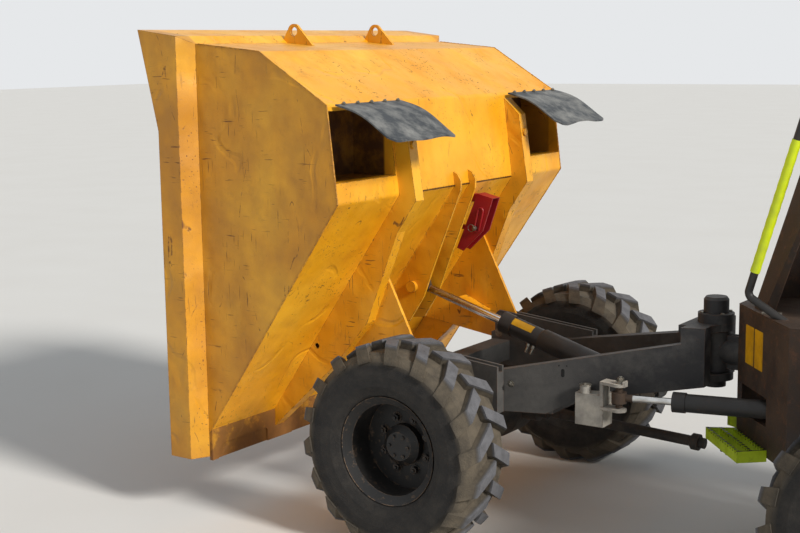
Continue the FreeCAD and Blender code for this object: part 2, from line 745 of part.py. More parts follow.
def slope_x_at(z):
    """The slope's outer face."""
    return g.floor_x + (g.mouth_x - g.floor_x) * (g.floor_z - z) / (g.floor_z - g.slope_z)


def slope_z_at(x):
    """The slope's outer face."""
    return g.floor_z - (g.floor_z - g.slope_z) * (x - g.floor_x) / (g.mouth_x - g.floor_x)


def wall_z_at(x):
    """The rear wall's outer face."""
    return g.wall_z + (g.wall_end_z - g.wall_z) * (x - g.wall_x) / (g.mouth_x - g.wall_x)


def chamfer_z_at(x):
    """The chamfer's outer face."""
    return g.chamfer_z + (g.wall_z - g.chamfer_z) * (x - g.chamfer_x) / (g.wall_x - g.chamfer_x)


def tub_outline():
    return [
        (g.mouth_x, g.wall_end_z),
        (g.wall_x, g.wall_z),
        (g.chamfer_x, g.chamfer_z),
        (g.floor_x, g.floor_z),
        (g.mouth_x, g.slope_z),
    ]


def skip_shell():
    """Side plates, rear wall, chamfer, floor and slope, open at the mouth, with two recesses."""
    body = Body("SkipShell")
    outline = tub_outline()
    body.slab("XZ", outline, (-g.skip_half, g.skip_half))
    body.rounded("XZ", outline[1:4], g.skip_bend)
    document.recompute()
    tip = body.body.Tip
    mouth = [
        "Face%d" % index
        for index, face in enumerate(tip.Shape.Faces, 1)
        if abs(face.CenterOfMass.x - g.mouth_x.value) < 0.01
    ]
    wall = body.body.newObject("PartDesign::Thickness", "Walls")
    wall.Base = (tip, mouth)
    bind(wall, "Value", g.skip_sheet)
    wall.Reversed = True
    wall.Join = 1
    deep = g.chamfer_x + g.pocket_deep
    low, high = g.pocket_bottom - g.skip_sheet, g.pocket_top + g.skip_sheet
    recess = [
        (floor_x_at(low) + g.skip_sheet / 2, low),
        (deep, low),
        (deep, high),
        (floor_x_at(high) + g.skip_sheet / 2, high),
    ]
    for name, side in SIDES:
        flush = (g.skip_half - g.skip_sheet / 2) * side
        body.slab("XZ", recess, ((g.pocket_inner - g.skip_sheet) * side, flush))
        body.block(
            (g.floor_x - 60, deep - g.skip_sheet),
            (g.pocket_inner * side, (g.skip_half - g.skip_sheet) * side),
            (g.pocket_bottom, g.pocket_top),
            cut=True,
        )
    body.done("skip_shell")


def wedge(low, high, sides, tops, bottom):
    """A frustum along X, given by its half widths and upper edges at two planes."""
    frustum = document.addObject("Part::Wedge", "Frustum")
    values = {
        "Ymin": low, "Ymax": high,
        "Xmin": -sides[0], "Xmax": sides[0], "X2min": -sides[1], "X2max": sides[1],
        "Zmin": bottom, "Zmax": tops[0], "Z2min": bottom, "Z2max": tops[1],
    }
    for name, size in values.items():
        setattr(frustum, name, as_size(size).value)
        bind(frustum, name, size)
    frustum.Placement = Placement(Vector(), Rotation(Vector(0, 0, 1), -90))
    return frustum


def skip_boards():
    """The flare round three sides of the mouth and the upright boards on it."""
    sheet = g.board_sheet
    lean = sheet * 0.7
    outer = wedge(
        g.mouth_x, g.board_root,
        (g.skip_half, g.board_half),
        (g.wall_end_z, g.board_top),
        g.board_low,
    )
    inner = wedge(
        g.mouth_x, g.board_root,
        (g.skip_half - sheet - lean, g.board_half - sheet),
        (g.wall_end_z - sheet - lean, g.board_top - sheet),
        g.board_low - 50,
    )
    body = Body("Boards")
    body.slab("XZ", [
        (g.board_root, g.board_low),
        (g.board_side, g.board_low),
        (g.board_side, g.board_kink),
        (g.board_front, g.board_peak),
        (g.board_root, g.board_top),
    ], (-g.board_half, g.board_half))
    past = g.board_front * 2 - g.board_root
    body.slab("XZ", [
        (g.board_root - 1, g.board_low - 1),
        (past, g.board_low - 1),
        (past, g.board_peak * 2 - g.board_top - sheet),
        (g.board_root, g.board_top - sheet),
        (g.board_root - 1, g.board_top - sheet),
    ], (sheet - g.board_half, g.board_half - sheet), cut=True)
    flare = document.addObject("Part::Cut", "Flare")
    flare.Base = outer
    flare.Tool = inner
    whole = document.addObject("Part::MultiFuse", "FlareAndBoards")
    whole.Shapes = [flare, body.body]
    place(whole)
    keep(whole, "skip_boards")


def lip_plate():
    """The plate at the slope's lower end, with arched recesses in its rear between the ribs."""
    body = Body("Lip")
    back = g.mouth_x - g.lip_wall
    body.slab("XZ", [
        (g.mouth_x, g.lip_low),
        (back, g.lip_low),
        (back, slope_z_at(back)),
        (g.mouth_x, g.slope_z),
    ], (-g.skip_half, g.skip_half))
    inner, outer = g.rib_middle - g.rib_wide / 2, g.rib_middle + g.rib_wide / 2
    arches = ((outer + 55, g.skip_half - 40), (as_size(60), inner - 55))
    top = g.lip_low + g.notch_height
    for name, side in SIDES:
        for near, far in arches:
            recess = [(near * side, g.lip_low - 1), (far * side, g.lip_low - 1), (far * side, top), (near * side, top)]
            body.slab("YZ", recess, (back - 1, back + g.notch_deep), cut=True)
            body.rounded("YZ", recess[2:3], 42)
            body.rounded("YZ", recess[3:4], 14)
    body.done("lip_plate")


def rib_outline():
    """The side of a rib, from the floor over the fold and down the slope to the lip."""
    back = g.mouth_x - g.lip_wall
    top = g.chamfer_z - 22
    return [
        (floor_x_at(top), top),
        (g.chamfer_x - 82, g.chamfer_z - 95),
        (g.floor_x - 83, g.floor_z - 22),
        (206, 1241),
        (371, 840),
        (544, 639),
        (back, 312),
        (back, slope_z_at(back)),
        (g.floor_x, g.floor_z),
    ]


def rib_hollow():
    """The inside of a rib, which is a folded channel with its open side on the tub."""
    top, a, b, c, d, e, low, high, fold = rib_outline()
    wall = g.rib_sheet
    return [
        (top[0] + 40, top[1] - wall * 1.6),
        (top[0], top[1] - wall * 1.6),
        (a[0] + wall * 1.4, a[1] - wall * 0.5),
        (b[0] + wall, b[1]),
        (c[0] + wall, c[1] + wall * 0.4),
        (d[0] + wall, d[1] + wall * 0.6),
        (e[0] + wall * 0.5, e[1] + wall),
        (low[0] - wall, low[1] + wall * 1.6),
        (high[0] - wall, high[1] + 40),
        (fold[0] + 40, fold[1] + 40),
    ]


def ribs():
    """A box-section rib on each side of the floor, with a bolt's head above and a hole in its outer side."""
    body = Body("Ribs")
    for name, side in SIDES:
        inner = (g.rib_middle - g.rib_wide / 2) * side
        outer = (g.rib_middle + g.rib_wide / 2) * side
        body.slab("XZ", rib_outline(), (inner, outer))
        body.slab("XZ", rib_hollow(), (inner + g.rib_sheet * side, outer - g.rib_sheet * side), cut=True)
        body.disc("YZ", (g.rib_middle * side, g.chamfer_z - 179), 17, (g.chamfer_x - 104, g.chamfer_x - 91))
        body.disc("XZ", (645, 711), 12, (outer - g.rib_sheet * 2 * side, outer + side), cut=True)
    body.done("ribs")


def skip_carriers():
    """Middle fins at the ram's rod pin, and the cheeks that hang the skip on its hinge."""
    body = Body("Fins")
    top = g.floor_z + 62
    for name, side in SIDES:
        plate = (g.fin_inside * side, (g.fin_inside + g.fin_wall) * side)
        body.slab("XZ", [
            (floor_x_at(top), top),
            (g.floor_x - 14, g.floor_z + 52),
            (g.floor_x - 32, g.floor_z + 22),
            (g.floor_x - 30, g.floor_z - 20),
            (316, 1012),
            (364, 889),
            (442, 771),
            (slope_x_at(742), 742),
            (g.floor_x, g.floor_z),
        ], plate)
        boss = ((g.fin_inside + g.fin_wall) * side, (g.fin_inside + g.fin_wall + 22) * side)
        body.disc("XZ", (g.ram_eye_x, g.ram_eye_z), 26, boss)
    body.done("middle_fins")

    body = Body("Cheeks")
    inner = g.rail_outside + g.ear_wall + g.side_gap
    low = g.hinge_z + 20
    for name, side in SIDES:
        plate = (inner * side, (inner + g.cheek_wall) * side)
        body.slab("XZ", [
            (slope_x_at(1158), 1158),
            (g.hinge_x - 38, g.hinge_z + 100),
            (g.hinge_x - 74, g.hinge_z + 20),
            (g.hinge_x + 8, g.hinge_z - 50),
            (slope_x_at(low), low),
        ], plate)
        body.disc("XZ", (g.hinge_x, g.hinge_z), 50, plate)
        body.slab("XZ", [
            (g.hinge_x + 95, g.hinge_z + 79),
            (g.hinge_x + 230, g.hinge_z + 139),
            (g.hinge_x + 226, g.hinge_z + 151),
            (g.hinge_x + 91, g.hinge_z + 91),
        ], ((inner - 80) * side, inner * side))
        body.disc("XZ", (g.hinge_x, g.hinge_z), g.hinge_pin + g.pin_gap, plate, cut=True)
    body.done("hinge_cheeks")


def skip_trim():
    """Lifting eyes on the rear wall, rubber flaps over the recesses and the safety prop."""
    body = Body("Eyes")
    wing = (g.board_root + g.mouth_x) / 2
    wing_z = (g.wall_end_z + g.board_top) / 2
    for name, side in SIDES:
        plate = (300 * side, 314 * side)
        body.slab("XZ", [
            (770, wall_z_at(770)),
            (g.mouth_x, g.wall_end_z),
            (wing, wing_z),
            (g.eye_x + 31, g.eye_z + 12),
            (g.eye_x - 22, g.eye_z + 24),
        ], plate)
        body.disc("XZ", (g.eye_x, g.eye_z), g.eye_hole + 13, plate)
        body.disc("XZ", (g.eye_x, g.eye_z), g.eye_hole, plate, cut=True)
    body.done("lifting_eyes")

    # Each flap is bolted along the chamfer's lower fold and droops to its free edge
    body = Body("Flaps")
    upper = [
        (23, 25.2), (6, 14.6), (-22, 0), (-90, -20), (-147, -51), (-197, -86), (-257, -116), (-312, -136),
    ]
    lower = [(x + 4, z - 8) for x, z in reversed(upper)]
    outline = [(g.chamfer_x + x, g.chamfer_z + z) for x, z in upper + lower]
    for name, side in SIDES:
        reach = (432 * side, 886 * side)
        body.slab("XZ", outline, reach)
    body.done("flaps")

    body = Body("Prop")
    body.slab("XZ", [(109, 1330), (189, 1349), (300, 1095), (267, 1083), (163, 1179)], (-182, -118))
    body.slab("XZ", [(95, 1326), (176, 1338), (302, 1054), (240, 1054), (140, 1165)], (-176, -124), cut=True)
    body.slab("XZ", [(185, 1345), (slope_x_at(1345), 1345), (slope_x_at(1310), 1310), (198, 1310)], (-170, -130))
    body.slab("XZ", [(250, 1195), (slope_x_at(1205), 1205), (slope_x_at(1180), 1180), (258, 1180)], (-160, -140))
    body.done("safety_prop")


def barrel(label, radius, bore, rod_radius, long, eye, half, pin, plane, where):
    """A ram's barrel along X from its pin, open at the far end where the rod comes out."""
    body = Body("Barrel")
    mouth = long - radius
    body.turned("XY", [
        (eye * 0.75, 0),
        (eye * 0.75, radius),
        (mouth - 15, radius),
        (mouth - 15, radius + 4),
        (long, radius + 4),
        (long, rod_radius + g.pin_gap),
        (mouth, rod_radius + g.pin_gap),
        (mouth, bore),
        (eye + 22, bore),
        (eye + 22, 0),
    ], "X")
    body.disc(plane, (0, 0), eye, (-half, half))
    body.disc(plane, (0, 0), pin + g.pin_gap, (-half, half), cut=True)
    body.done(label, **where)


def rod(label, radius, bore, long, piston, eye, half, pin, pin_half, plane, where):
    """A ram's rod along X back from its pin, with the piston at its inner end."""
    body = Body("Rod")
    head = bore - g.pin_gap
    body.turned("XY", [
        (-eye * 0.75, 0),
        (-eye * 0.75, radius),
        (piston - long, radius),
        (piston - long, head),
        (-long, head),
        (-long, 0),
    ], "X")
    body.disc(plane, (0, 0), eye, (-half, half))
    body.disc(plane, (0, 0), pin, (-pin_half, pin_half))
    body.done(label, **where)


def rams():
    """The tip ram between frame and skip, and the steering ram between the two units."""
    run, rise = g.ram_eye_x - g.ram_foot_x, g.ram_eye_z - g.ram_foot_z
    tilt = {"axis": (0, -1, 0), "angle": bearing(rise, run)}
    barrel(
        "tip_barrel", g.ram_barrel, g.ram_bore, g.ram_rod, g.ram_barrel_long,
        g.ram_eye, g.foot_inside - g.side_gap, g.ram_pin, "XZ",
        {"x": g.ram_foot_x, "z": g.ram_foot_z, **tilt},
    )
    rod(
        "tip_rod", g.ram_rod, g.ram_bore, as_size(546), 40,
        g.ram_eye, as_size(28), g.ram_rod, as_size(46), "XZ",
        {"x": g.ram_eye_x, "z": g.ram_eye_z, **tilt},
    )
    run, rise = g.steer_eye_x - g.steer_foot_x, g.steer_eye_y - g.steer_foot_y
    turn = {"axis": (0, 0, 1), "angle": bearing(rise, run)}
    barrel(
        "steer_barrel", g.steer_barrel, g.steer_bore, g.steer_rod, g.steer_barrel_long,
        g.steer_eye, as_size(38), g.steer_pin, "XY",
        {"x": g.steer_foot_x, "y": g.steer_foot_y, "z": g.steer_z, **turn},
    )
    rod(
        "steer_rod", g.steer_rod, g.steer_bore, as_size(440), 25,
        g.steer_eye, as_size(22), g.steer_pin, as_size(40), "XY",
        {"x": g.steer_eye_x, "y": g.steer_eye_y, "z": g.steer_z, **turn},
    )


# Drive line

def shafts():
    """A shaft from each axle's pinion to the joint under the steering pivot."""
    joint, meet = 35, 395
    for label, x, direction in (("propshaft_front", as_size(0), -1), ("propshaft_rear", g.rear_x, 1)):
        start = x + (g.pinion_reach + 2) * direction
        run = (g.pivot_x - joint * direction - start) * direction
        drop = g.axle_datum - meet
        long = span(drop, run)
        yoke = g.shaft_radius + 12
        body = Body("Shaft")
        body.turned("XY", [
            (0, 0), (0, g.shaft_radius), (12, g.shaft_radius), (12, yoke), (44, yoke), (54, g.shaft_radius),
            (long - 64, g.shaft_radius), (long - 54, yoke), (long - 24, yoke), (long - 24, g.shaft_radius),
            (long, g.shaft_radius), (long, 0),
        ], "X")
        place(body.body, start, 0, g.axle_datum)
        turn = Rotation(Vector(0, 1, 0), bearing(drop, run).value)
        if direction < 0:
            turn = Rotation(Vector(0, 0, 1), 180).multiply(turn)
        body.body.Placement = Placement(body.body.Placement.Base, turn)
        keep(body.body, label)


# Rear unit

def nose_x_at(y, inset=0):
    """The chamfered side of the nose, or its inner face when inset."""
    run, rise = g.nose_x - g.corner_x, g.body_half - g.nose_half
    return g.nose_x - inset * span(run, rise) / rise - (y - g.nose_half) * run / rise


def mirrored(half):
    """The whole of an outline from its left half, which runs from the rear to the front."""
    return half + [(x, -y) for x, y in reversed(half)]


def rear_chassis():
    """Two rails, cross members, and the lugs and pin of the steering ram's foot."""
    body = Body("Chassis")
    inner, outer = g.chassis_half - g.chassis_wide, g.chassis_half
    for name, side in SIDES:
        body.slab("XY", [
            (nose_x_at(inner, g.deck_wall), inner * side),
            (nose_x_at(outer, g.deck_wall), outer * side),
            (g.bumper_x, outer * side),
            (g.bumper_x, inner * side),
        ], (g.chassis_low, g.chassis_high))
    for rear, front in ((g.pivot_x - 580, g.pivot_x - 500), (g.bumper_x + 40, g.bumper_x + 100)):
        body.block((rear, front), (-inner, inner), (g.chassis_low, g.chassis_high))
    reach, plate = 41, 12
    foot = g.steer_foot_x - g.steer_eye - 12
    middle = g.steer_foot_y
    body.block((foot - 50, foot), (middle - 36, middle + 36), (g.chassis_high - 40, g.steer_z + reach + plate))
    for low in (g.steer_z - reach - plate, g.steer_z + reach):
        level = (low, low + plate)
        body.slab("XY", [
            (foot, g.steer_foot_y - 40),
            (foot, g.steer_foot_y + 40),
            (g.steer_foot_x, g.steer_foot_y + 26),
            (g.steer_foot_x, g.steer_foot_y - 26),
        ], level)
        body.disc("XY", (g.steer_foot_x, g.steer_foot_y), 26, level)
    whole = (g.steer_z - reach - plate, g.steer_z + reach + plate)
    body.disc("XY", (g.steer_foot_x, g.steer_foot_y), g.steer_pin, whole)
    body.done("rear_chassis")


def knuckle():
    """The tube that turns on the upright pin, and the arm that ties it to the nose."""
    body = Body("Knuckle")
    low, high = g.lug_low + g.lug_wall + 5, g.lug_high - g.lug_wall - 5
    body.disc("YZ", (0, (low + high) / 2), 52, (g.nose_x, g.pivot_x))
    for name, side in SIDES:
        body.slab("YZ", [
            (8 * side, low + 12),
            (22 * side, low + 12),
            (22 * side, high - 12),
            (8 * side, high - 12),
        ], (g.nose_x, g.pivot_x - 40))
    body.disc("XY", (g.pivot_x, 0), 60, (low, high))
    body.disc("XY", (g.pivot_x, 0), g.pivot_pin + g.pin_gap, (low, high), cut=True)
    body.done("pivot_knuckle")


def nose():
    """Blunt, chamfered front of the rear unit, with the opening for the steering ram."""
    body = Body("Nose")
    wall, end = g.deck_wall, g.corner_x - 113
    level = (g.nose_low, g.deck_z - wall)
    run, rise = g.nose_x - g.corner_x, g.body_half - g.nose_half
    blunt = g.nose_half - (span(run, rise) / rise - 1) * wall * rise / run
    side = g.body_half - wall
    body.slab("XY", mirrored([(end, g.body_half), (g.corner_x, g.body_half), (g.nose_x, g.nose_half)]), level)
    body.slab("XY", mirrored([(end - 1, side), (nose_x_at(side, wall), side), (g.nose_x - wall, blunt)]), level, cut=True)
    near, far = g.nose_half + 16, g.nose_half + 224
    body.slab("XY", [
        (nose_x_at(near) + 30, near), (nose_x_at(far) + 30, far),
        (nose_x_at(far) - 40, far), (nose_x_at(near) - 40, near),
    ], (g.steer_z - 48, g.steer_z + 62), cut=True)
    body.done("nose")


def deck():
    """The driver's floor, with the box that the seat stands on."""
    body = Body("Deck")
    outline = mirrored([(g.bulkhead_x, g.body_half), (g.corner_x, g.body_half), (g.nose_x, g.nose_half)])
    body.slab("XY", outline, (g.deck_z - g.deck_wall, g.deck_z))
    body.block((g.bulkhead_x, g.seat_x), (-260, 260), (g.deck_z, g.seat_z))
    body.block((g.bulkhead_x + 6, g.seat_x - 6), (-254, 254), (g.deck_z - g.deck_wall, g.seat_z - 6), cut=True)
    body.done("deck")


def beside_nose(along, out):
    """A point beside the nose's left chamfer: along it from the blunt corner, and out from it."""
    run, rise = g.nose_x - g.corner_x, g.body_half - g.nose_half
    long = span(run, rise)
    return g.nose_x + (rise * out - run * along) / long, g.nose_half + (rise * along + run * out) / long


def steps():
    """A step on each chamfered side of the nose: serrated bars between two end plates."""
    body = Body("Steps")
    low, high = g.step_z - g.step_high, g.step_z
    for name, side in SIDES:

        def bar(first, last, near, far):
            corners = [(first, near), (last, near), (last, far), (first, far)]
            return [(x, y * side) for x, y in (beside_nose(along, out) for along, out in corners)]

        for near, far in ((3, 15), (53, 65), (103, 115)):
            body.slab("XY", bar(-30 * far / 115, 317, near, far), (low, high))
        teeth = [bar(tooth, tooth + 12, 2, 116) for tooth in range(4, 300, 26)]
        body.slabs("XY", teeth, (high - 9, high + 1), cut=True)
        body.slab("XY", bar(309, 317, 0, 115), (low, high))
        body.slab("XY", [(x, y * side) for x, y in (
            beside_nose(0, 0), beside_nose(8, 0), beside_nose(-22, 115), beside_nose(-30, 115))], (low, high))
    body.done("steps")


def cowl():
    """The folded console in front of the driver, which leans back and widens upwards."""
    levels = (
        (g.deck_z, g.pivot_x - 200, g.pivot_x - 301, as_size(120), as_size(181)),
        (g.cowl_fold_z, g.pivot_x - 345, g.pivot_x - 460, as_size(200), as_size(300)),
        (g.cowl_high, g.pivot_x - 411, g.pivot_x - 566, as_size(200), as_size(312)),
    )
    body = Body("Cowl")

    def section(level, inset):
        z, front, rear, blunt, half = level
        fold = front - (half - blunt)
        sketch = body.sketch("XY", z)
        body.draw(sketch, mirrored([
            (rear - inset, half - inset),
            (fold - inset, half - inset),
            (front - inset, blunt - inset / 2),
        ]))
        return sketch

    body.joined([section(level, as_size(0)) for level in levels])
    under = (levels[2][0] - 6,) + levels[2][1:]
    body.joined([section(level, as_size(6)) for level in (levels[0], levels[1], under)], cut=True)
    column = Body("Column")
    column.disc("XY", (0, 0), 24, (-125, g.seat_gap * -1 - 60))
    whole = document.addObject("Part::MultiFuse", "CowlAndColumn")
    whole.Shapes = [body.body, column.body]
    lay(column.body, g.pivot_x - g.column_x, 0, g.column_z, (0, -1, 0), g.column_lean)
    place(whole)
    keep(whole, "cowl")


def steering_wheel():
    """A three-spoke wheel on its hub, tilted towards the driver."""
    body = Body("SteeringWheel")
    sketch = body.sketch("XZ")
    body.ring(sketch, (168, 0), 13)
    ring = body.body.newObject("PartDesign::Revolution", "Ring")
    ring.Profile = sketch
    ring.ReferenceAxis = (body.datum("Z_Axis"), "")
    ring.Angle = 360
    body.disc("XY", (0, 0), 32, (-60, -6))
    body.slab("XY", [(0, -11), (166, -8), (166, 8), (0, 11)], (-10, -4))
    body.slab("XY", [(-11, 0), (-8, 166), (8, 166), (11, 0)], (-10, -4))
    body.slab("XY", [(-11, 0), (-8, -166), (8, -166), (11, 0)], (-10, -4))
    body.done("steering_wheel", x=g.pivot_x - g.column_x, z=g.column_z, axis=(0, -1, 0), angle=g.column_lean)


def tube(body, plane, level, corners, bend, radius, wall=None):
    """A bent tube along a path that lies in one plane."""
    path = body.sketch(plane, level)
    corners = [(as_size(u), as_size(v)) for u, v in corners]
    bend = as_size(bend)
    legs, arcs = [], []
    start = corners[0]
    for before, corner, after in zip(corners, corners[1:], corners[2:]):
        a = (corner[0] - before[0], corner[1] - before[1])
        b = (after[0] - corner[0], after[1] - corner[1])
        long_a, long_b = span(a[1], a[0]), span(b[1], b[0])
        a = (a[0] / long_a, a[1] / long_a)
        b = (b[0] / long_b, b[1] / long_b)
        turn = a[0] * b[1] - a[1] * b[0]
        sign = 1 if turn.value > 0 else -1
        back = bend * turn * sign / (a[0] * b[0] + a[1] * b[1] + 1)
        first = (corner[0] - a[0] * back, corner[1] - a[1] * back)
        last = (corner[0] + b[0] * back, corner[1] + b[1] * back)
        centre = (first[0] - a[1] * bend * sign, first[1] + a[0] * bend * sign)
        legs.append((start, first))
        arcs.append((first, last, centre, sign))
        start = last
    legs.append((start, corners[-1]))
    ties = []
    for index, (one, two) in enumerate(legs):
        line = path.addGeometry(Part.LineSegment(
            Vector(one[0].value, one[1].value, 0), Vector(two[0].value, two[1].value, 0)), False)
        for end, point in ((1, one), (2, two)):
            ties.append((Sketcher.Constraint("DistanceX", -1, 1, line, end, point[0].value), point[0]))
            ties.append((Sketcher.Constraint("DistanceY", -1, 1, line, end, point[1].value), point[1]))
        if index < len(arcs):
            first, last, centre, sign = arcs[index]
            middle = Vector(centre[0].value, centre[1].value, 0)
            ends = [math.atan2(p[1].value - middle.y, p[0].value - middle.x) for p in (first, last)]
            if sign < 0:
                ends.reverse()
            circle = Part.Circle(middle, Vector(0, 0, 1), bend.value)
            arc = path.addGeometry(Part.ArcOfCircle(circle, ends[0], ends[1]), False)
            begin, finish = (1, 2) if sign > 0 else (2, 1)
            ties.append((Sketcher.Constraint("Coincident", line, 2, arc, begin), None))
            ties.append((Sketcher.Constraint("Coincident", arc, finish, arc + 1, 1), None))
            ties.append((Sketcher.Constraint("Radius", arc, bend.value), bend))
    body.tie(path, ties)
    path.Visibility = False
    document.recompute()
    profile = body.body.newObject("Sketcher::SketchObject", "Section")
    profile.AttachmentSupport = [(path, "Edge1")]
    profile.MapMode = "NormalToEdge"
    profile.MapPathParameter = 0
    body.ring(profile, (0, 0), radius)
    if wall is not None:
        body.ring(profile, (0, 0), as_size(radius) - wall)
    profile.Visibility = False
    pipe = body.body.newObject("PartDesign::AdditivePipe", "Tube")
    pipe.Profile = profile
    pipe.Spine = (path, ["Edge%d" % (index + 1) for index in range(len(path.Shape.Edges))])
    document.recompute()
    return pipe


def grab_rails():
    """A bent rail on each side of the cowl, from the floor's edge up and back to the cowl's top."""
    body = Body("GrabRails")
    path = [
        (g.pivot_x - back, z)
        for back, z in ((408, 975), (236, 1078), (445, 1795), (525, 1795), (525, g.cowl_high))
    ]
    for name, side in SIDES:
        tube(body, "XZ", -290 * side, path, 28, g.grab_radius)
    body.block((g.pivot_x - 500, g.pivot_x - 250), (-350, 350), (900, g.deck_z), cut=True)
    body.done("grab_rails")


def seat():
    """Cushion and backrest."""
    body = Body("Seat")
    body.slab("XZ", [
        (g.rear_x + ahead, g.seat_z + up)
        for ahead, up in ((210, 0), (-155, 0), (-230, 410), (-175, 420), (-110, 95), (210, 105))
    ], (-230, 230))
    body.done("seat")


def bonnet():
    """The engine's cover, open in front, with a slotted rear panel that carries its hinge."""
    body = Body("Bonnet")
    sheet, half, top = g.bonnet_sheet, g.bonnet_half, g.bonnet_high
    front = g.bulkhead_x - 10
    body.slab("YZ", [(-half, g.bonnet_low), (half, g.bonnet_low), (half, top), (-half, top)], (g.bumper_x, front))
    body.rounded("YZ", [(half, top), (-half, top)], 45)
    body.slab("YZ", [
        (sheet - half, g.bonnet_low - 1), (half - sheet, g.bonnet_low - 1),
        (half - sheet, top - sheet), (sheet - half, top - sheet),
    ], (g.bumper_x + sheet, front + 1), cut=True)
    for step in range(7):
        low = g.bonnet_low + 120 + step * 40
        body.slab("YZ", [(-220, low), (220, low), (220, low + 18), (-220, low + 18)],
                  (g.bumper_x - 1, g.bumper_x + sheet + 1), cut=True)
    pin_x = g.bumper_x - 15
    for name, side in SIDES:
        reach = (222 * side, 278 * side)
        body.slab("XZ", [
            (g.bumper_x + sheet, g.bonnet_low),
            (g.bumper_x + sheet, g.bonnet_low + 40),
            (g.bumper_x - 6, g.bonnet_low + 40),
            (pin_x - 14, g.bonnet_hinge_z + 6),
            (pin_x, g.bonnet_hinge_z - 10),
        ], reach)
        body.disc("XZ", (pin_x, g.bonnet_hinge_z), 16, reach)
        body.disc("XZ", (pin_x, g.bonnet_hinge_z), 8 + g.pin_gap, reach, cut=True)
    body.done("bonnet")


def rear_bumper():
    """The thick rear plate with the bonnet's hinge lugs and the towing clevis."""
    body = Body("Bumper")
    top, half = as_size(760), g.body_half + 10
    body.block((g.bumper_x - 60, g.bumper_x), (-half, half), (450, top))
    body.rounded("XY", [(g.bumper_x - 60, -half), (g.bumper_x - 60, half)], 30)
    pin_x = g.bumper_x - 15
    for name, side in SIDES:
        for inner in (208, 284):
            reach = (inner * side, (inner + 8) * side)
            body.slab("XZ", [
                (g.bumper_x, top - 5), (g.bumper_x - 40, top - 5),
                (pin_x - 15, g.bonnet_hinge_z + 4), (pin_x + 15, g.bonnet_hinge_z + 4),
            ], reach)
            body.disc("XZ", (pin_x, g.bonnet_hinge_z), 16, reach)
        body.disc("XZ", (pin_x, g.bonnet_hinge_z), 8, (208 * side, 292 * side))
    rear = g.tail_x
    for low in (495, 585):
        level = (low, low + 20)
        body.slab("XY", [
            (g.bumper_x - 55, -70), (g.bumper_x - 55, 70), (rear + 22, 32), (rear, 14), (rear, -14), (rear + 22, -32),
        ], level)
        body.disc("XY", (rear + 32, 0), 16, level, cut=True)
    body.done("rear_bumper")


def engine_bay():
    """The engine as one plain block, its exhaust pipe, and the two tanks under the floor."""
    body = Body("Engine")
    body.block((g.rear_x - 770, g.rear_x - 270), (-200, 200), (g.chassis_high, 1150))
    body.done("engine_block")

    body = Body("Exhaust")
    tube(body, "YZ", g.rear_x - 670, [(-200, 740), (-300, 740), (-300, 450)], 50, 21, 3)
    body.done("exhaust")

    body = Body("Tanks")
    for name, side in SIDES:
        wide = ((g.chassis_half + 10) * side, (g.body_half - 6) * side)
        body.block((g.rear_x - 110, g.corner_x - 119), wide, (g.chassis_high + 10, g.deck_z - g.deck_wall))
        cap = ((g.body_half - 6) * side, (g.body_half + 18) * side)
        body.disc("XZ", (g.corner_x - 203, g.deck_z - 100), 32, cap)
    body.done("tanks")


def mudguards():
    """Folded guards over the rear tyres."""
    body = Body("Mudguards")
    top, wall = g.deck_z - 2, 6
    outer = g.track_half + g.tyre_width / 2 + 15
    outline = [(250, 930), (238, top), (-400, top), (-495, 890), (-489, 885), (-397, top - wall), (232, top - wall), (244, 929)]
    for name, side in SIDES:
        body.slab("XZ", [(g.rear_x + ahead, z) for ahead, z in outline], (g.body_half * side, outer * side))
        body.block((g.rear_x - 397, g.rear_x + 232), ((outer - wall) * side, outer * side), (950, top - 1))
        post = (g.rops_x - g.rops_tube - 6, g.rops_x + g.rops_tube + 6)
        body.block(post, ((g.body_half - 1) * side, (g.rops_half + 41) * side), (880, g.deck_z), cut=True)
    body.done("mudguards")


def roll_bar():
    """Fixed posts with fork plates and pins, and the upper hoop that folds back on them."""
    body = Body("Posts")
    tube_half = g.rops_tube
    inner, outer = g.rops_half - tube_half, g.rops_half + tube_half
    reach = (g.rops_x - tube_half, g.rops_x + tube_half)
    for name, side in SIDES:
        body.block(reach, (inner * side, outer * side), (g.chassis_high, g.rops_pivot_z - 80))
        for low in (inner - 9, outer + 1):
            plate = (low * side, (low + 8) * side)
            body.block(reach, plate, (g.rops_pivot_z - 150, g.rops_pivot_z))
            body.disc("XZ", (g.rops_x, g.rops_pivot_z), tube_half, plate)
            near = ((inner - 3) * side, (inner + 3) * side) if low.value < g.rops_half.value else (
                (outer - 3) * side, (outer + 3) * side)
            body.block(reach, near, (g.rops_pivot_z - 150, g.rops_pivot_z - 80))
        whole = ((inner - 9) * side, (outer + 9) * side)
        body.disc("XZ", (g.rops_x, g.rops_pivot_z), g.rops_pin, whole)
    body.block(reach, (-inner - 1, inner + 1), (g.chassis_high, g.chassis_high + 60))
    body.done("rops_posts")

    body = Body("Hoop")
    radius = tube_half - 2
    low, top = g.rops_pivot_z - 45, g.rops_high - radius
    tube(body, "YZ", g.rops_x, [
        (-g.rops_half, low), (-g.rops_half, top), (g.rops_half, top), (g.rops_half, low),
    ], 120, radius, 5)
    for name, side in SIDES:
        bore = ((inner - 5) * side, (outer + 5) * side)
        body.disc("XZ", (g.rops_x, g.rops_pivot_z), g.rops_pin + g.pin_gap, bore, cut=True)
    body.done("rops_hoop")


def levers():
    """The driver's small levers on their console."""
    body = Body("Levers")
    middle = 75 - g.body_half
    body.block((g.rear_x - 60, g.rear_x + 100), (middle - 45, middle + 45), (g.deck_z, 1150))
    for x in (g.rear_x + 60, g.rear_x):
        body.disc("XY", (x, middle), 7, (1145, 1300))
        body.disc("XY", (x, middle), 16, (1300, 1335))
    body.done("control_levers")


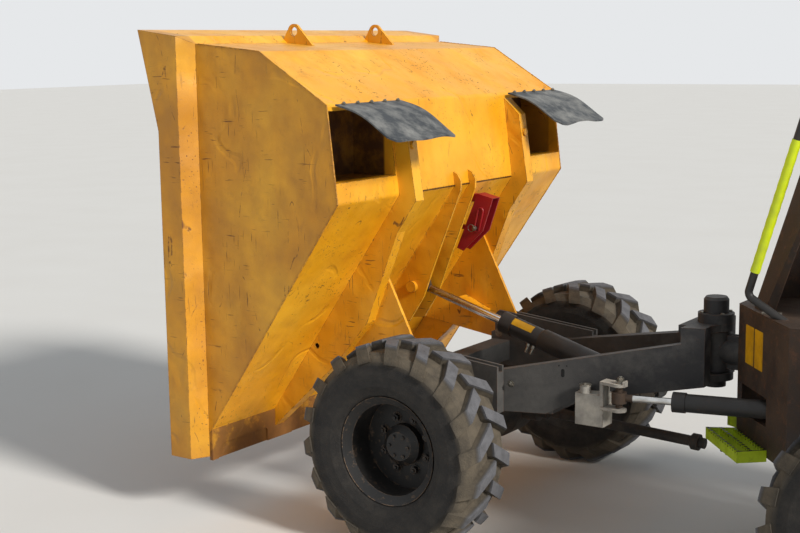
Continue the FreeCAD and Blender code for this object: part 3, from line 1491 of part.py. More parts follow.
def build():
    wheels_and_axles()
    front_frame()
    steer_bracket()
    pins()
    skip_shell()
    skip_boards()
    lip_plate()
    ribs()
    skip_carriers()
    skip_trim()
    rams()
    shafts()
    rear_chassis()
    knuckle()
    nose()
    deck()
    steps()
    cowl()
    steering_wheel()
    grab_rails()
    seat()
    bonnet()
    rear_bumper()
    engine_bay()
    mudguards()
    roll_bar()
    levers()


def export():
    """Check every piece and write it under its own name."""
    document.recompute()
    faults = []
    for thing in document.Objects:
        if any(word in ("Invalid", "Error") for word in thing.State):
            faults.append("%s: %s" % (thing.Name, thing.State))
    for thing in pieces:
        shape = thing.Shape
        if shape.isNull() or not shape.isValid() or not shape.Solids:
            faults.append("%s has no valid solid" % thing.Label)
    if faults:
        raise RuntimeError("; ".join(faults))
    os.makedirs("parts", exist_ok=True)
    for thing in pieces:
        thing.Shape.exportStep("parts/%s.step" % thing.Label)
        print(thing.Label, len(thing.Shape.Solids), round(thing.Shape.Volume / 1e6, 3))


build()
export()
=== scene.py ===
"""A worn site dumper with its skip tipped forwards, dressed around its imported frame."""

import json
import math

import bmesh
import bpy
from mathutils import Matrix, Vector


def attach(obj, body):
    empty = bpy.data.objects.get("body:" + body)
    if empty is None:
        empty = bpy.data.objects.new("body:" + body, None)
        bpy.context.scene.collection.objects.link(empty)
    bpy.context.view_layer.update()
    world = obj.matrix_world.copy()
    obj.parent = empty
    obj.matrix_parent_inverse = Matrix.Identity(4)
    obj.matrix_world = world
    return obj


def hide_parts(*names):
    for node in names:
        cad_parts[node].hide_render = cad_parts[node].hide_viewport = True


bl_info = {
    "name": "Site Dumper",
    "version": (1, 0, 0),
    "blender": (4, 5, 0),
    "location": "View3D > Sidebar > Dumper",
    "description": "Dresses the frame of a site dumper with paint, fixings, rubber flaps and a stuffed seat",
    "category": "Object",
}

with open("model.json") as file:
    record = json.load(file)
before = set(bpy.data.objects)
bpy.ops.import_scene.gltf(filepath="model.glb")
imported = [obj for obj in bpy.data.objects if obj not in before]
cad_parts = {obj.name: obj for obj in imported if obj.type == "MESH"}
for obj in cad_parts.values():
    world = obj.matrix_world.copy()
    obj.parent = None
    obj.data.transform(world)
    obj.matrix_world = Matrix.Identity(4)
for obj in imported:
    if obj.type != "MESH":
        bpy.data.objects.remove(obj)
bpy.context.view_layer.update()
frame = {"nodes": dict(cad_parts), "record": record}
NODES = frame["nodes"]

# Places are measured from the front axle, as in the source, and shifted along the machine to the row's origin
SHIFT = 0.891
TRACK_HALF = 0.760
AXLES = {"front": 0.0, "rear": -1.930}
SIDES = {"left": 1, "right": -1}
AXLE_HEIGHT = 0.430
# The tip ram at rest: its rear pin, and the direction from there to the rod's pin
RAM_FOOT = (-0.740, 0.0, 0.587)
RAM_RUN = Vector((1.160, 0.0, 0.346)).normalized()
RAM_PIN = (0.420, 0.0, 0.933)
STEER_PIN = (-0.738, 0.330, 0.630)

# Where the skip's finish changes, in the row frame at rest. The first two are values that a change is
# spread between, and the others a middle and a half
SIDE_PLATE = (0.900, 0.908)
RECESS_MOUTH = (1.145, 1.155)
RECESS_UPRIGHT = (1.622, 0.142)
RECESS_ACROSS = (0.700, 0.204)

UP = (0, 0, 1)


def at(x, y, z):
    """A point given from the front axle, in the row frame."""
    return Vector((x + SHIFT, y, z))


class DumperFinish(bpy.types.PropertyGroup):
    """Colours of the machine's finishes."""

    yellow: bpy.props.StringProperty(
        name="Yellow paint", description="sRGB hex of the skip's paint", default="#E39C10")
    faded: bpy.props.StringProperty(
        name="Faded yellow", description="sRGB hex of the sun-paled paint", default="#EDAE28")
    rust: bpy.props.StringProperty(
        name="Rust", description="sRGB hex of rusted steel", default="#6E4020")
    chassis: bpy.props.StringProperty(
        name="Chassis paint", description="sRGB hex of the frame's dark paint", default="#232224")
    wear: bpy.props.FloatProperty(
        name="Wear", description="How much of the paint is scratched", default=0.95,
        min=0, max=1, subtype="FACTOR")


class DumperSizes(bpy.types.PropertyGroup):
    """Sizes of the pieces that are added to the frame."""

    nut_across: bpy.props.FloatProperty(
        name="Wheel nut", description="Across a wheel nut's flats", default=0.028, unit="LENGTH")
    weld: bpy.props.FloatProperty(
        name="Weld", description="Radius of a weld bead", default=0.0035, unit="LENGTH")
    rubber: bpy.props.FloatProperty(
        name="Flap", description="Thickness of the rubber flaps", default=0.007, unit="LENGTH")


# Shading

def linear(code, alpha=1.0):
    """An sRGB hex colour as the linear colour that a shader takes."""
    channels = [int(code[i:i + 2], 16) / 255 for i in (1, 3, 5)]
    return tuple(c / 12.92 if c <= 0.04045 else ((c + 0.055) / 1.055) ** 2.4 for c in channels) + (alpha,)


def node(tree, kind, inputs=None, **settings):
    """Add one node with its settings, its sockets' values and its links."""
    made = tree.nodes.new("ShaderNode" + kind)
    for name, value in settings.items():
        setattr(made, name, value)
    for name, value in (inputs or {}).items():
        socket = made.inputs[name]
        if isinstance(value, bpy.types.NodeSocket):
            tree.links.new(value, socket)
        else:
            socket.default_value = value
    return made


def blank(name):
    """An empty material, its tree and its Object coordinates."""
    material = bpy.data.materials.new(name)
    material.use_nodes = True
    tree = material.node_tree
    tree.nodes.clear()
    place = node(tree, "TexCoord").outputs["Object"]
    return material, tree, place


def noise(tree, place, millimetres, detail=4.0, rough=0.55, squash=None):
    """Cloudy noise whose lumps are about that size, drawn out along an axis where squash says so."""
    if squash:
        place = node(tree, "Mapping", {"Vector": place, "Scale": squash}).outputs[0]
    return node(tree, "TexNoise", {
        "Vector": place, "Scale": 1000 / millimetres, "Detail": detail, "Roughness": rough}).outputs["Fac"]


def band(tree, value, low, high, out_low=0.0, out_high=1.0):
    """A value spread from one range over another, cut off at both ends."""
    return node(tree, "MapRange", {
        "Value": value, "From Min": low, "From Max": high, "To Min": out_low, "To Max": out_high}).outputs[0]


def patches(tree, place, millimetres, low, high, least=0.0, most=1.0, detail=4.0, rough=0.55, squash=None):
    """Patches of about that size, faint below the low value of the noise and full above the high one."""
    return band(tree, noise(tree, place, millimetres, detail, rough, squash), low, high, least, most)


def maths(tree, operation, first, second):
    """One sum on two values, kept between 0 and 1."""
    return node(tree, "Math", {0: first, 1: second}, operation=operation, use_clamp=True).outputs[0]


def times(tree, first, second):
    """One value within another."""
    return maths(tree, "MULTIPLY", first, second)


def larger(tree, first, second):
    """One value on top of another."""
    return maths(tree, "MAXIMUM", first, second)


def less(tree, value, other):
    """One value less another, also below 0."""
    return node(tree, "Math", {0: value, 1: other}, operation="SUBTRACT").outputs[0]


def off_by(tree, value, middle=0.0):
    """How far a value lies from a middle, to either side."""
    return node(tree, "Math", {0: less(tree, value, middle)}, operation="ABSOLUTE").outputs[0]


def parts_of(tree, vector):
    """The three parts of a vector, by their letters."""
    return node(tree, "SeparateXYZ", {"Vector": vector}).outputs


def mix(tree, factor, first, second):
    """One colour over another."""
    made = node(tree, "Mix", {"Factor": factor}, data_type="RGBA")
    for index, colour in ((6, first), (7, second)):
        if isinstance(colour, bpy.types.NodeSocket):
            tree.links.new(colour, made.inputs[index])
        else:
            made.inputs[index].default_value = linear(colour)
    return made.outputs[2]


def finish_surface(tree, colour, rough, height=None, depth=0.001, metal=0.0):
    """The surface shader of a material, with its bump."""
    inputs = {"Base Color": colour, "Roughness": rough, "Metallic": metal}
    if height is not None:
        bump = node(tree, "Bump", {"Height": height, "Strength": 1.0, "Distance": depth})
        inputs["Normal"] = bump.outputs[0]
    shader = node(tree, "BsdfPrincipled", inputs)
    node(tree, "OutputMaterial", {"Surface": shader.outputs[0]})


def edge_wear(tree, width, spread=0.02):
    """Where edges are, from the normal rounded over a width against the plain one."""
    soft = node(tree, "Bevel", {"Radius": width}, samples=6).outputs[0]
    plain = node(tree, "NewGeometry").outputs["Normal"]
    dot = node(tree, "VectorMath", {0: soft, 1: plain}, operation="DOT_PRODUCT").outputs["Value"]
    return band(tree, maths(tree, "SUBTRACT", 1.0, dot), spread, spread * 4)


def reach(tree, value, middle, half, soft=0.004):
    """1 where a value lies within half of the middle, 0 elsewhere."""
    return band(tree, off_by(tree, value, middle), half - soft, half + soft, 1.0, 0.0)


def contours(tree, place, millimetres, wide, squash=None):
    """Long curved lines, where cloudy noise passes through its middle value."""
    off = off_by(tree, noise(tree, place, millimetres, 1.5, 0.4, squash), 0.5)
    return band(tree, off, wide * 0.4, wide, 1.0, 0.0)


def scratched(tree, place, worn_edges):
    """Where paint is gone: fine scratches, long gouges, chips and the worn edges."""
    # Straight scratches of a few millimetres' width in two directions, in patches
    lines = patches(tree, place, 10, 0.650, 0.70, 0, 1, 2.0, 0.5, (0.10, 1, 1))
    across = patches(tree, place, 8, 0.660, 0.71, 0, 1, 2.0, 0.5, (1, 0.3, 0.06))
    where = patches(tree, place, 240, 0.47, 0.60)
    scratch = times(tree, larger(tree, lines, across), where)
    gouge = contours(tree, place, 170, 0.0032, (1, 1, 0.25))
    gouge = times(tree, gouge, patches(tree, place, 55, 0.50, 0.58, detail=6.0, rough=0.7))
    chips = patches(tree, place, 16, 0.645, 0.69, detail=8.0, rough=0.75)
    chips = times(tree, chips, patches(tree, place, 300, 0.44, 0.58, detail=3.0))
    edges = patches(tree, place, 30, 0.42, 0.55, 0, worn_edges, 6.0)
    edges = times(tree, edge_wear(tree, 0.006), edges)
    return larger(tree, larger(tree, larger(tree, scratch, gouge), chips), edges)


def worn_yellow(name, finish, dirt=0.5, low_rust=False, worn_edges=1.0):
    """Alkyd enamel sprayed on steel plate: half-gloss, paled by the sun, scratched to rust."""
    material, tree, place = blank(name)
    axes = parts_of(tree, place)
    outward = off_by(tree, axes["Y"])
    colour = mix(tree, patches(tree, place, 420, 0.40, 0.66, detail=3.0), finish.yellow, finish.faded)
    stain = patches(tree, place, 160, 0.47, 0.72, 0, 0.75 * dirt, 8.0, 0.68, (1, 1, 0.45))
    colour = mix(tree, stain, colour, "#BE7414")
    grime = patches(tree, place, 60, 0.56, 0.74, 0, 0.6 * dirt, 10.0, 0.7)
    colour = mix(tree, grime, colour, "#7A5526")
    # The tall side plates are painted browner than the rest: partly weathering, partly painted shade of their
    # shaded faces
    browned_and_shaded = patches(tree, place, 300, 0.30, 0.62, 0.15, 0.62, 6.0, 0.62)
    colour = mix(tree, times(tree, band(tree, outward, *SIDE_PLATE), browned_and_shaded), colour, "#9A6420")
    # Inside the wheel recesses a dark brown covers most of the paint: partly mud and rust, partly painted
    # shade of the recess
    recess = times(tree, reach(tree, axes["Z"], *RECESS_UPRIGHT), band(tree, axes["X"], *RECESS_MOUTH))
    recess = times(tree, recess, reach(tree, outward, *RECESS_ACROSS))
    mud_and_shade = patches(tree, place, 90, 0.36, 0.58, 0.72, 0.97, 8.0, 0.7)
    colour = mix(tree, times(tree, recess, mud_and_shade), colour, "#42261A")
    bare = times(tree, scratched(tree, place, worn_edges), finish.wear)
    if low_rust:
        # Rust creeps up from the edge that scrapes the ground, by an uneven height
        ragged = times(tree, noise(tree, place, 110, 8.0, 0.7), 0.65)
        low = band(tree, less(tree, axes["Z"], ragged), 0.20, 0.02)
        bare = larger(tree, bare, times(tree, low, 0.95))
    rust = mix(tree, noise(tree, place, 25, 8.0), finish.rust, "#3B2415")
    colour = mix(tree, times(tree, bare, 0.9), colour, rust)
    rough = band(tree, larger(tree, bare, stain), 0, 1, 0.40, 0.72)
    # Dents as broad as a shovel, with a sharp crease here and there
    dents = noise(tree, place, 230, 2.0, 0.4)
    crease = times(tree, contours(tree, place, 420, 0.02), patches(tree, place, 200, 0.50, 0.60, detail=2.0))
    fine = times(tree, noise(tree, place, 5, 3.0), 0.02)
    height = maths(tree, "SUBTRACT", dents, times(tree, crease, 0.10))
    height = maths(tree, "ADD", height, maths(tree, "SUBTRACT", fine, times(tree, bare, 0.03)))
    finish_surface(tree, colour, rough, height, 0.026)
    return material


def dark_paint(
        name, base, dust, rusty=0.3, dusty=0.5, rust="#5B3820", rough=0.62, settled=0.75, front_dust_and_light=False):
    """Brushed-on chassis paint over cast and rolled steel, dusty on top and rusting at its edges."""
    material, tree, place = blank(name)
    cloud = patches(tree, place, 120, 0.42, 0.70, 0, dusty, 8.0, 0.65)
    if front_dust_and_light:
        # The part of the frame nearest the front wheels is painted paler: partly the dust they throw, partly
        # painted light for the sunlit front against the shaded rear
        near = band(tree, parts_of(tree, place)["X"], 0.20, 0.50, 0, 0.5)
        spread = patches(tree, place, 50, 0.30, 0.62, 0.5, 1.0, 8.0, 0.7)
        cloud = larger(tree, cloud, times(tree, near, spread))
    upward = parts_of(tree, node(tree, "NewGeometry").outputs["Normal"])["Z"]
    lying = patches(tree, place, 40, 0.3, 0.6, settled - 0.4, 1.0, 6.0, 0.7)
    top = times(tree, band(tree, upward, 0.2, 1.0, 0, settled * dusty), lying)
    colour = mix(tree, larger(tree, cloud, top), base, dust)
    spots = patches(tree, place, 35, 0.62 - 0.12 * rusty, 0.72, 0, 0.85, 10.0, 0.75)
    edges = times(tree, edge_wear(tree, 0.005), patches(tree, place, 25, 0.45, 0.55, detail=6.0))
    worn = larger(tree, times(tree, spots, rusty * 1.6), times(tree, edges, 0.6))
    colour = mix(tree, worn, colour, rust)
    height = maths(tree, "ADD", noise(tree, place, 4, 4.0), times(tree, worn, 0.4))
    finish_surface(tree, colour, band(tree, cloud, 0, 0.6, rough, 0.85), height, 0.0008)
    return material


def tyre_rubber(name, axle):
    """Vulcanised tread rubber: near black on the walls, greyed by dust where the lugs meet the ground."""
    material, tree, place = blank(name)
    # Distance from the axle's centreline tells the tread from the wall
    centre = (axle + SHIFT, 0, AXLE_HEIGHT)
    spoke = node(tree, "VectorMath", {0: place, 1: centre}, operation="SUBTRACT").outputs[0]
    spoke = node(tree, "VectorMath", {0: spoke, 1: (1, 0, 1)}, operation="MULTIPLY").outputs[0]
    far = node(tree, "VectorMath", {0: spoke}, operation="LENGTH").outputs["Value"]
    cloud = patches(tree, place, 70, 0.40, 0.66, 0, 0.5, 8.0, 0.7)
    grit = patches(tree, place, 9, 0.50, 0.66, 0, 0.3, 6.0, 0.7)
    colour = mix(tree, larger(tree, cloud, grit), "#161413", "#3E3933")
    # Lug tips are rubbed grey
    tips = band(tree, far, AXLE_HEIGHT - 0.016, AXLE_HEIGHT - 0.004)
    tips = times(tree, tips, patches(tree, place, 45, 0.30, 0.60, 0.45, 0.95, 8.0, 0.7))
    colour = mix(tree, tips, colour, "#67676B")
    # Dry mud stays between the lugs
    mud = times(tree, band(tree, far, AXLE_HEIGHT - 0.006, AXLE_HEIGHT - 0.020), band(
        tree, far, AXLE_HEIGHT - 0.085, AXLE_HEIGHT - 0.050))
    mud = times(tree, mud, patches(tree, place, 60, 0.30, 0.60, 0.35, 0.9, 8.0, 0.7))
    colour = mix(tree, mud, colour, "#655B4C")
    finish_surface(tree, colour, 0.86, noise(tree, place, 7, 8.0, 0.75), 0.004)
    return material


def chrome(name, eyes):
    """Hard-chromed ground bar with a film of old oil; the forged eyes on its ends are left to rust."""
    material, tree, place = blank(name)
    film = patches(tree, place, 60, 0.45, 0.7, detail=6.0, squash=(0.4, 1, 1))
    colour = mix(tree, film, "#D0D0CE", "#857F77")
    forged = 0.0
    for eye in eyes:
        off = node(tree, "VectorMath", {0: place, 1: at(*eye)}, operation="DISTANCE").outputs["Value"]
        forged = larger(tree, band(tree, off, 0.060, 0.056), forged)
    colour = mix(tree, forged, colour, mix(tree, noise(tree, place, 20, 6.0), "#2B2624", "#54402F"))
    rough = larger(tree, band(tree, film, 0, 1, 0.14, 0.34), times(tree, forged, 0.75))
    finish_surface(tree, colour, rough, metal=band(tree, forged, 0, 1, 1.0, 0.15))
    return material


def bare_steel(name, base="#7A736A", rust="#5A3A24", rusty=0.5):
    """Bright-drawn or cut steel that stands in the weather: dull, freckled with rust."""
    material, tree, place = blank(name)
    spots = patches(tree, place, 14, 0.60 - 0.2 * rusty, 0.70, detail=8.0, rough=0.7)
    colour = mix(tree, spots, base, rust)
    rough = band(tree, spots, 0, 1, 0.42, 0.85)
    finish_surface(tree, colour, rough, spots, 0.0005, metal=band(tree, spots, 0, 1, 0.85, 0.1))
    return material


def plain_finish(name, base, other, rough, millimetres, depth):
    """A moulded or coated surface with slight mottling and grain."""
    material, tree, place = blank(name)
    colour = mix(tree, patches(tree, place, 90, 0.42, 0.7, detail=6.0, rough=0.65), base, other)
    grain = noise(tree, place, millimetres, 3.0)
    finish_surface(tree, colour, band(tree, grain, 0.3, 0.7, rough - 0.06, rough + 0.08), grain, depth)
    return material


def make_materials(finish):
    """Every material, by the name of what it covers."""
    return {
        "yellow_paint": worn_yellow("sprayed enamel on plate", finish, 0.55),
        "fold_paint": worn_yellow("sprayed enamel round a fold", finish, 0.55, worn_edges=0.0),
        "lip_paint": worn_yellow("enamel worn by tipping", finish, 0.9, True),
        # The chassis paint is painted paler towards the front: partly dust, partly painted light
        "frame_paint": dark_paint(
            "brushed chassis enamel", finish.chassis, "#6A6762", 0.15, 0.5, front_dust_and_light=True),
        "bracket_paint": dark_paint("dusty primer on plate", "#8B8780", "#C9C1B4", 0.1, 0.9, rough=0.8),
        "body_paint": dark_paint("rusting chassis enamel", "#2A1D15", "#56402C", 0.75, 0.5),
        "cast_parts": dark_paint("painted grey iron", "#1D1A18", "#5A4E43", 0.35, 0.6, rough=0.75),
        "tank_paint": dark_paint("painted sheet steel", "#231E1A", "#54473B", 0.35, 0.5),
        "pin_steel": bare_steel("turned pin steel"),
        "ram_paint": dark_paint("painted ram tube", "#1B1A1A", "#4C443C", 0.25, 0.35, rough=0.45),
        "rod_chrome": chrome("hard chrome on ground bar", (STEER_PIN, RAM_PIN)),
        "flap_rubber": plain_finish("skived sheet rubber", "#34383C", "#7E7E7B", 0.72, 8, 0.0008),
        "prop_paint": dark_paint("red enamel on channel", "#A3141E", "#6A3A30", 0.2, 0.2, rough=0.45),
        "tyre_front": tyre_rubber("vulcanised rubber in front", AXLES["front"]),
        "tyre_rear": tyre_rubber("vulcanised rubber behind", AXLES["rear"]),
        "rim_paint": dark_paint(
            "stoved wheel enamel", "#0D0C0C", "#2C2824", 0.45, 0.35, "#8A6F56", 0.5),
        "step_paint": dark_paint(
            "lime enamel on grating", "#B4CC18", "#15140D", 0.35, 0.3, "#2A2410", 0.5, 3.0),
        "rail_paint": dark_paint("black enamel on tube", "#1C1B1B", "#50463C", 0.2, 0.3, rough=0.45),
        "seat_cover": plain_finish("embossed vinyl", "#17171A", "#2A2826", 0.55, 3, 0.0006),
        "wheel_plastic": plain_finish("moulded polyurethane", "#121213", "#242322", 0.5, 4, 0.0003),
        "pipe_steel": bare_steel("scaled exhaust steel", "#4A3A30", "#6B3E22", 0.9),
        "sleeve": plain_finish("fluorescent vinyl sleeve", "#DDF01C", "#C9D838", 0.42, 12, 0.0003),
        "plate": plain_finish("printed vinyl blank", "#E2A80E", "#B98410", 0.45, 20, 0.0001),
        "zinc": bare_steel("zinc plated steel", "#8A867C", "#6A4A30", 0.25),
        "weld": bare_steel("rusting weld metal", "#6B4A20", "#4A2C16", 0.9),
        # Near black that stands for the dark inside of holes: painted shade
        "shadow": plain_finish("painted shade in a cut-out", "#0B0A0A", "#141211", 0.9, 6, 0.0002),
        "mesh_wire": bare_steel("galvanised wire", "#55524D", "#3A2A20", 0.4),
    }


MATERIALS = {}


# Pieces

def publish(name, mesh, body, material, smooth=30, stands_for=()):
    """Make an object of a bmesh, ride it on its body and give it its finish."""
    bmesh.ops.remove_doubles(mesh, verts=mesh.verts, dist=1e-6)
    bmesh.ops.recalc_face_normals(mesh, faces=mesh.faces)
    data = bpy.data.meshes.new(name)
    mesh.to_mesh(data)
    mesh.free()
    data.shade_smooth()
    piece = bpy.data.objects.new(name, data)
    bpy.context.scene.collection.objects.link(piece)
    data.materials.append(MATERIALS[material])
    data.set_sharp_from_angle(angle=math.radians(smooth))
    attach(piece, body)
    if stands_for:
        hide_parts(*stands_for)
    return piece


def turn_to(direction, origin=(0, 0, 0)):
    """The matrix that stands local Z along a direction at a point."""
    rotation = Vector(UP).rotation_difference(Vector(direction).normalized()).to_matrix().to_4x4()
    return Matrix.Translation(origin) @ rotation


def facing(outward, up, origin):
    """The matrix of a plate that lies against a face: Z outwards, Y as near as may be to up."""
    z = Vector(outward).normalized()
    x = Vector(up).cross(z).normalized()
    basis = Matrix((x, z.cross(x), z)).transposed().to_4x4()
    return Matrix.Translation(origin) @ basis


def round_axle(x, y, radius, count, start=0.0):
    """Points evenly round an axle, in the upright plane at y, start shares of a step from ahead."""
    angles = [math.tau * (index + start) / count for index in range(count)]
    return [at(x + radius * math.cos(t), y, AXLE_HEIGHT + radius * math.sin(t)) for t in angles]


def along_curve(line, share):
    """The point at a share of a smooth curve through a line's points."""
    spot = share * (len(line) - 1)
    index = min(int(spot), len(line) - 2)
    part = spot - index
    before, after = line[max(index - 1, 0)], line[min(index + 2, len(line) - 1)]
    return [
        0.5 * (2 * q + (r - p) * part + (2 * p - 5 * q + 4 * r - t) * part ** 2
               + (3 * q - p - 3 * r + t) * part ** 3)
        for p, q, r, t in zip(before, line[index], line[index + 1], after)]


def rounded_outline(wide, high, radius, steps=4):
    """The corners of a rectangle about its middle, each one rounded."""
    points = []
    for quarter, (u, v) in enumerate(((1, 1), (-1, 1), (-1, -1), (1, -1))):
        for step in range(steps + 1):
            turn = math.radians(90 * (quarter + step / steps))
            points.append((
                u * (wide / 2 - radius) + radius * math.cos(turn),
                v * (high / 2 - radius) + radius * math.sin(turn)))
    return points


def add_rod(mesh, start, end, radius, segments=16, chamfer=0.0):
    """A closed cylinder or prism from one point to another."""
    start, end = Vector(start), Vector(end)
    length = (end - start).length
    verts = bmesh.ops.create_cone(
        mesh, cap_ends=True, segments=segments, radius1=radius, radius2=radius, depth=length)["verts"]
    if chamfer:
        edges = {e for v in verts for e in v.link_edges}
        rims = [e for e in edges if any(len(f.verts) > 4 for f in e.link_faces)]
        bevelled = bmesh.ops.bevel(
            mesh, geom=rims, offset=chamfer, segments=2, profile=0.5, affect="EDGES", material=-1)
        verts = list({v for f in bevelled["faces"] for v in f.verts} | {v for v in verts if v.is_valid})
    bmesh.ops.transform(mesh, matrix=turn_to(end - start, (start + end) / 2), verts=verts)


def add_nut(mesh, place, direction, across, height):
    """A hexagon nut with its washer and the bolt's end."""
    place, direction = Vector(place), Vector(direction).normalized()
    seat = place + direction * height * 0.15
    top = place + direction * height
    tip = place + direction * height * 1.45
    add_rod(mesh, place, seat, across * 0.78, 20)
    add_rod(mesh, seat, top, across / 1.732, 6, chamfer=height * 0.08)
    add_rod(mesh, top, tip, across * 0.29, 12, chamfer=height * 0.06)


def add_tube(mesh, points, radius, segments):
    """A round bar along points, from one grid wrapped round them. A list of radii swells or closes it."""
    points = [Vector(p) for p in points]
    radii = radius if isinstance(radius, list) else [radius] * len(points)
    frames = []
    normal = (points[1] - points[0]).orthogonal().normalized()
    for index, point in enumerate(points):
        ahead, behind = points[min(index + 1, len(points) - 1)], points[max(index - 1, 0)]
        direction = (ahead - behind).normalized()
        normal = (normal - direction * normal.dot(direction)).normalized()
        frames.append((point, normal.copy(), direction.cross(normal)))
    # Both ends close in a ring of no radius
    frames = [frames[0]] + frames + [frames[-1]]
    radii = [0.0] + radii + [0.0]
    last = len(frames) - 1
    for vert in bmesh.ops.create_grid(mesh, x_segments=last, y_segments=segments, size=1)["verts"]:
        index = round((vert.co.x + 1) / 2 * last)
        turn = math.tau * (vert.co.y + 1) / 2
        point, one, two = frames[index]
        vert.co = point + (one * math.cos(turn) + two * math.sin(turn)) * radii[index]


def add_bead(mesh, start, end, radius, pitch=0.007):
    """A hand-laid weld bead: a row of ripples of uneven size."""
    start, end = Vector(start), Vector(end)
    steps = max(int((end - start).length / pitch), 3)
    points = [start.lerp(end, i / steps) for i in range(steps + 1)]
    radii = [radius * (1 + 0.22 * math.sin(i * 2.1) + 0.12 * math.sin(i * 0.37)) for i in range(steps + 1)]
    add_tube(mesh, points, radii, 7)


def add_plate(mesh, outline, thickness, matrix, chamfer=0.0):
    """A flat plate: its outline in the plane of the matrix, drawn up by its thickness."""
    face = bmesh.ops.contextual_create(mesh, geom=[mesh.verts.new((u, v, 0)) for u, v in outline])["faces"]
    grown = bmesh.ops.extrude_face_region(mesh, geom=face)["geom"]
    top = [g for g in grown if isinstance(g, bmesh.types.BMVert)]
    bmesh.ops.translate(mesh, vec=(0, 0, thickness), verts=top)
    verts = list({v for f in face for v in f.verts} | set(top))
    if chamfer:
        edges = list({e for v in top for e in v.link_edges})
        cut = bmesh.ops.bevel(mesh, geom=edges, offset=chamfer, segments=1, affect="EDGES", material=-1)
        verts = list({v for f in cut["faces"] for v in f.verts} | {v for v in verts if v.is_valid})
    bmesh.ops.transform(mesh, matrix=matrix, verts=verts)


def add_pad(mesh, half, matrix, channels=()):
    """A stuffed form: crowned on its upper side, drawn in between its corners, with sewn channels."""
    crown, thin, waist, thread = 0.10, 0.42, 0.025, 0.007
    bmesh.ops.create_cube(mesh, size=2.0)
    bmesh.ops.subdivide_edges(mesh, edges=mesh.edges[:], cuts=35, use_grid_fill=True)
    verts = mesh.verts[:]
    for vert in verts:
        a, b, c = vert.co
        rim = max(abs(a), abs(b)) ** 8
        thick = (1 - thin * abs(a) ** 5) * (1 - thin * abs(b) ** 5)
        thick += crown * (1 - a * a) * (1 - b * b)
        sewn = sum(math.exp(-((b * half[1] - line) / thread) ** 2) for line in channels)
        z = c * half[2] * thick if c > 0 else c * half[2] * (1 - 0.2 * rim)
        if c > 0.9:
            z -= 0.009 * sewn * (1 - rim)
        draw = 1 - 0.035 * c * c
        vert.co = (
            a * half[0] * draw * (1 - waist * (1 - b * b)),
            b * half[1] * draw * (1 - waist * (1 - a * a)), z)
    bmesh.ops.transform(mesh, matrix=matrix, verts=verts)


class DUMPER_OT_paint(bpy.types.Operator):
    """Give every piece of the frame its finish"""

    bl_idname = "dumper.paint"
    bl_label = "Paint the frame"

    def execute(self, context):
        MATERIALS.update(make_materials(context.scene.dumper_finish))
        slots = {part["node"]: part["material_slot"] for part in frame["record"]["subparts"]}
        special = {"lip_plate": "lip_paint", "steer_bracket": "bracket_paint"}
        for name, piece in NODES.items():
            covering = special.get(name, slots[name])
            if name.startswith("tyre_"):
                covering = "tyre_front" if "front" in name else "tyre_rear"
            piece.data.materials.clear()
            piece.data.materials.append(MATERIALS[covering])
        return {"FINISHED"}


class DUMPER_OT_wheel_fixings(bpy.types.Operator):
    """Nuts round each hub, the hub's cap screws and the tyre's valve"""

    bl_idname = "dumper.wheel_fixings"
    bl_label = "Wheel fixings"

    def execute(self, context):
        across = context.scene.dumper_sizes.nut_across
        nut_ring, screw_ring, valve_up = 0.112, 0.044, 0.150
        for end, x in AXLES.items():
            for side, sign in SIDES.items():
                mesh = bmesh.new()
                disc = (TRACK_HALF - 0.020) * sign
                for place in round_axle(x, disc, nut_ring, 8, 0.5):
                    add_nut(mesh, place, (0, sign, 0), across, 0.018)
                hub = (TRACK_HALF + 0.036) * sign
                for place in round_axle(x, hub, screw_ring, 6):
                    add_rod(mesh, place, place + Vector((0, 0.006 * sign, 0)), 0.0075, 6, chamfer=0.001)
                valve = at(x, disc, AXLE_HEIGHT + valve_up)
                add_rod(mesh, valve, valve + Vector((0, 0.030 * sign, 0.006)), 0.005, 10, chamfer=0.001)
                wheel = "%s_%s" % (end, side)
                publish("wheel_fixings_" + wheel, mesh, "wheel_" + wheel, "rim_paint")
        return {"FINISHED"}


class DUMPER_OT_plates(bpy.types.Operator):
    """Two blank yellow plates on the nose's left chamfer, and one along the tip ram"""

    bl_idname = "dumper.plates"
    bl_label = "Blank plates"

    def execute(self, context):
        along = Vector((-0.329, 0.370, 0)).normalized()
        outward = Vector((0.370, 0.329, 0)).normalized()
        corner = at(-1.118, 0.060, 0.858)
        mesh = bmesh.new()
        for offset in (0.119, 0.211):
            place = facing(outward, UP, corner + along * offset)
            add_plate(mesh, rounded_outline(0.080, 0.150, 0.004), 0.0012, place)
        publish("blank_plates", mesh, "rear_unit", "plate")

        # A strip bent round the barrel's upper left, from its mouth back
        foot, run = at(*RAM_FOOT), RAM_RUN
        up = Vector((-run.z, 0, run.x))
        middle, half, radius = 0.665, 0.070, 0.0436
        mesh = bmesh.new()
        for vert in bmesh.ops.create_grid(mesh, x_segments=20, y_segments=10, size=1)["verts"]:
            far = middle + half * vert.co.x
            turn = math.radians(38 + 24 * vert.co.y)
            vert.co = foot + run * far + (up * math.cos(turn) + Vector((0, 1, 0)) * math.sin(turn)) * radius
        bmesh.ops.solidify(mesh, geom=mesh.faces[:], thickness=0.0008)
        publish("ram_strip", mesh, "tip_barrel", "plate")
        return {"FINISHED"}


class DUMPER_OT_sleeves(bpy.types.Operator):
    """Bright sleeves on the grab rails"""

    bl_idname = "dumper.sleeves"
    bl_label = "Rail sleeves"

    def execute(self, context):
        steps = 40
        radii = [0.0182 + 0.0006 * math.sin(i * 1.7) for i in range(steps + 1)]
        mesh = bmesh.new()
        for sign in SIDES.values():
            low, high = at(-1.262, 0.290 * sign, 1.167), at(-1.405, 0.290 * sign, 1.658)
            add_tube(mesh, [low.lerp(high, i / steps) for i in range(steps + 1)], radii, 20)
        publish("rail_sleeves", mesh, "rear_unit", "sleeve")
        return {"FINISHED"}


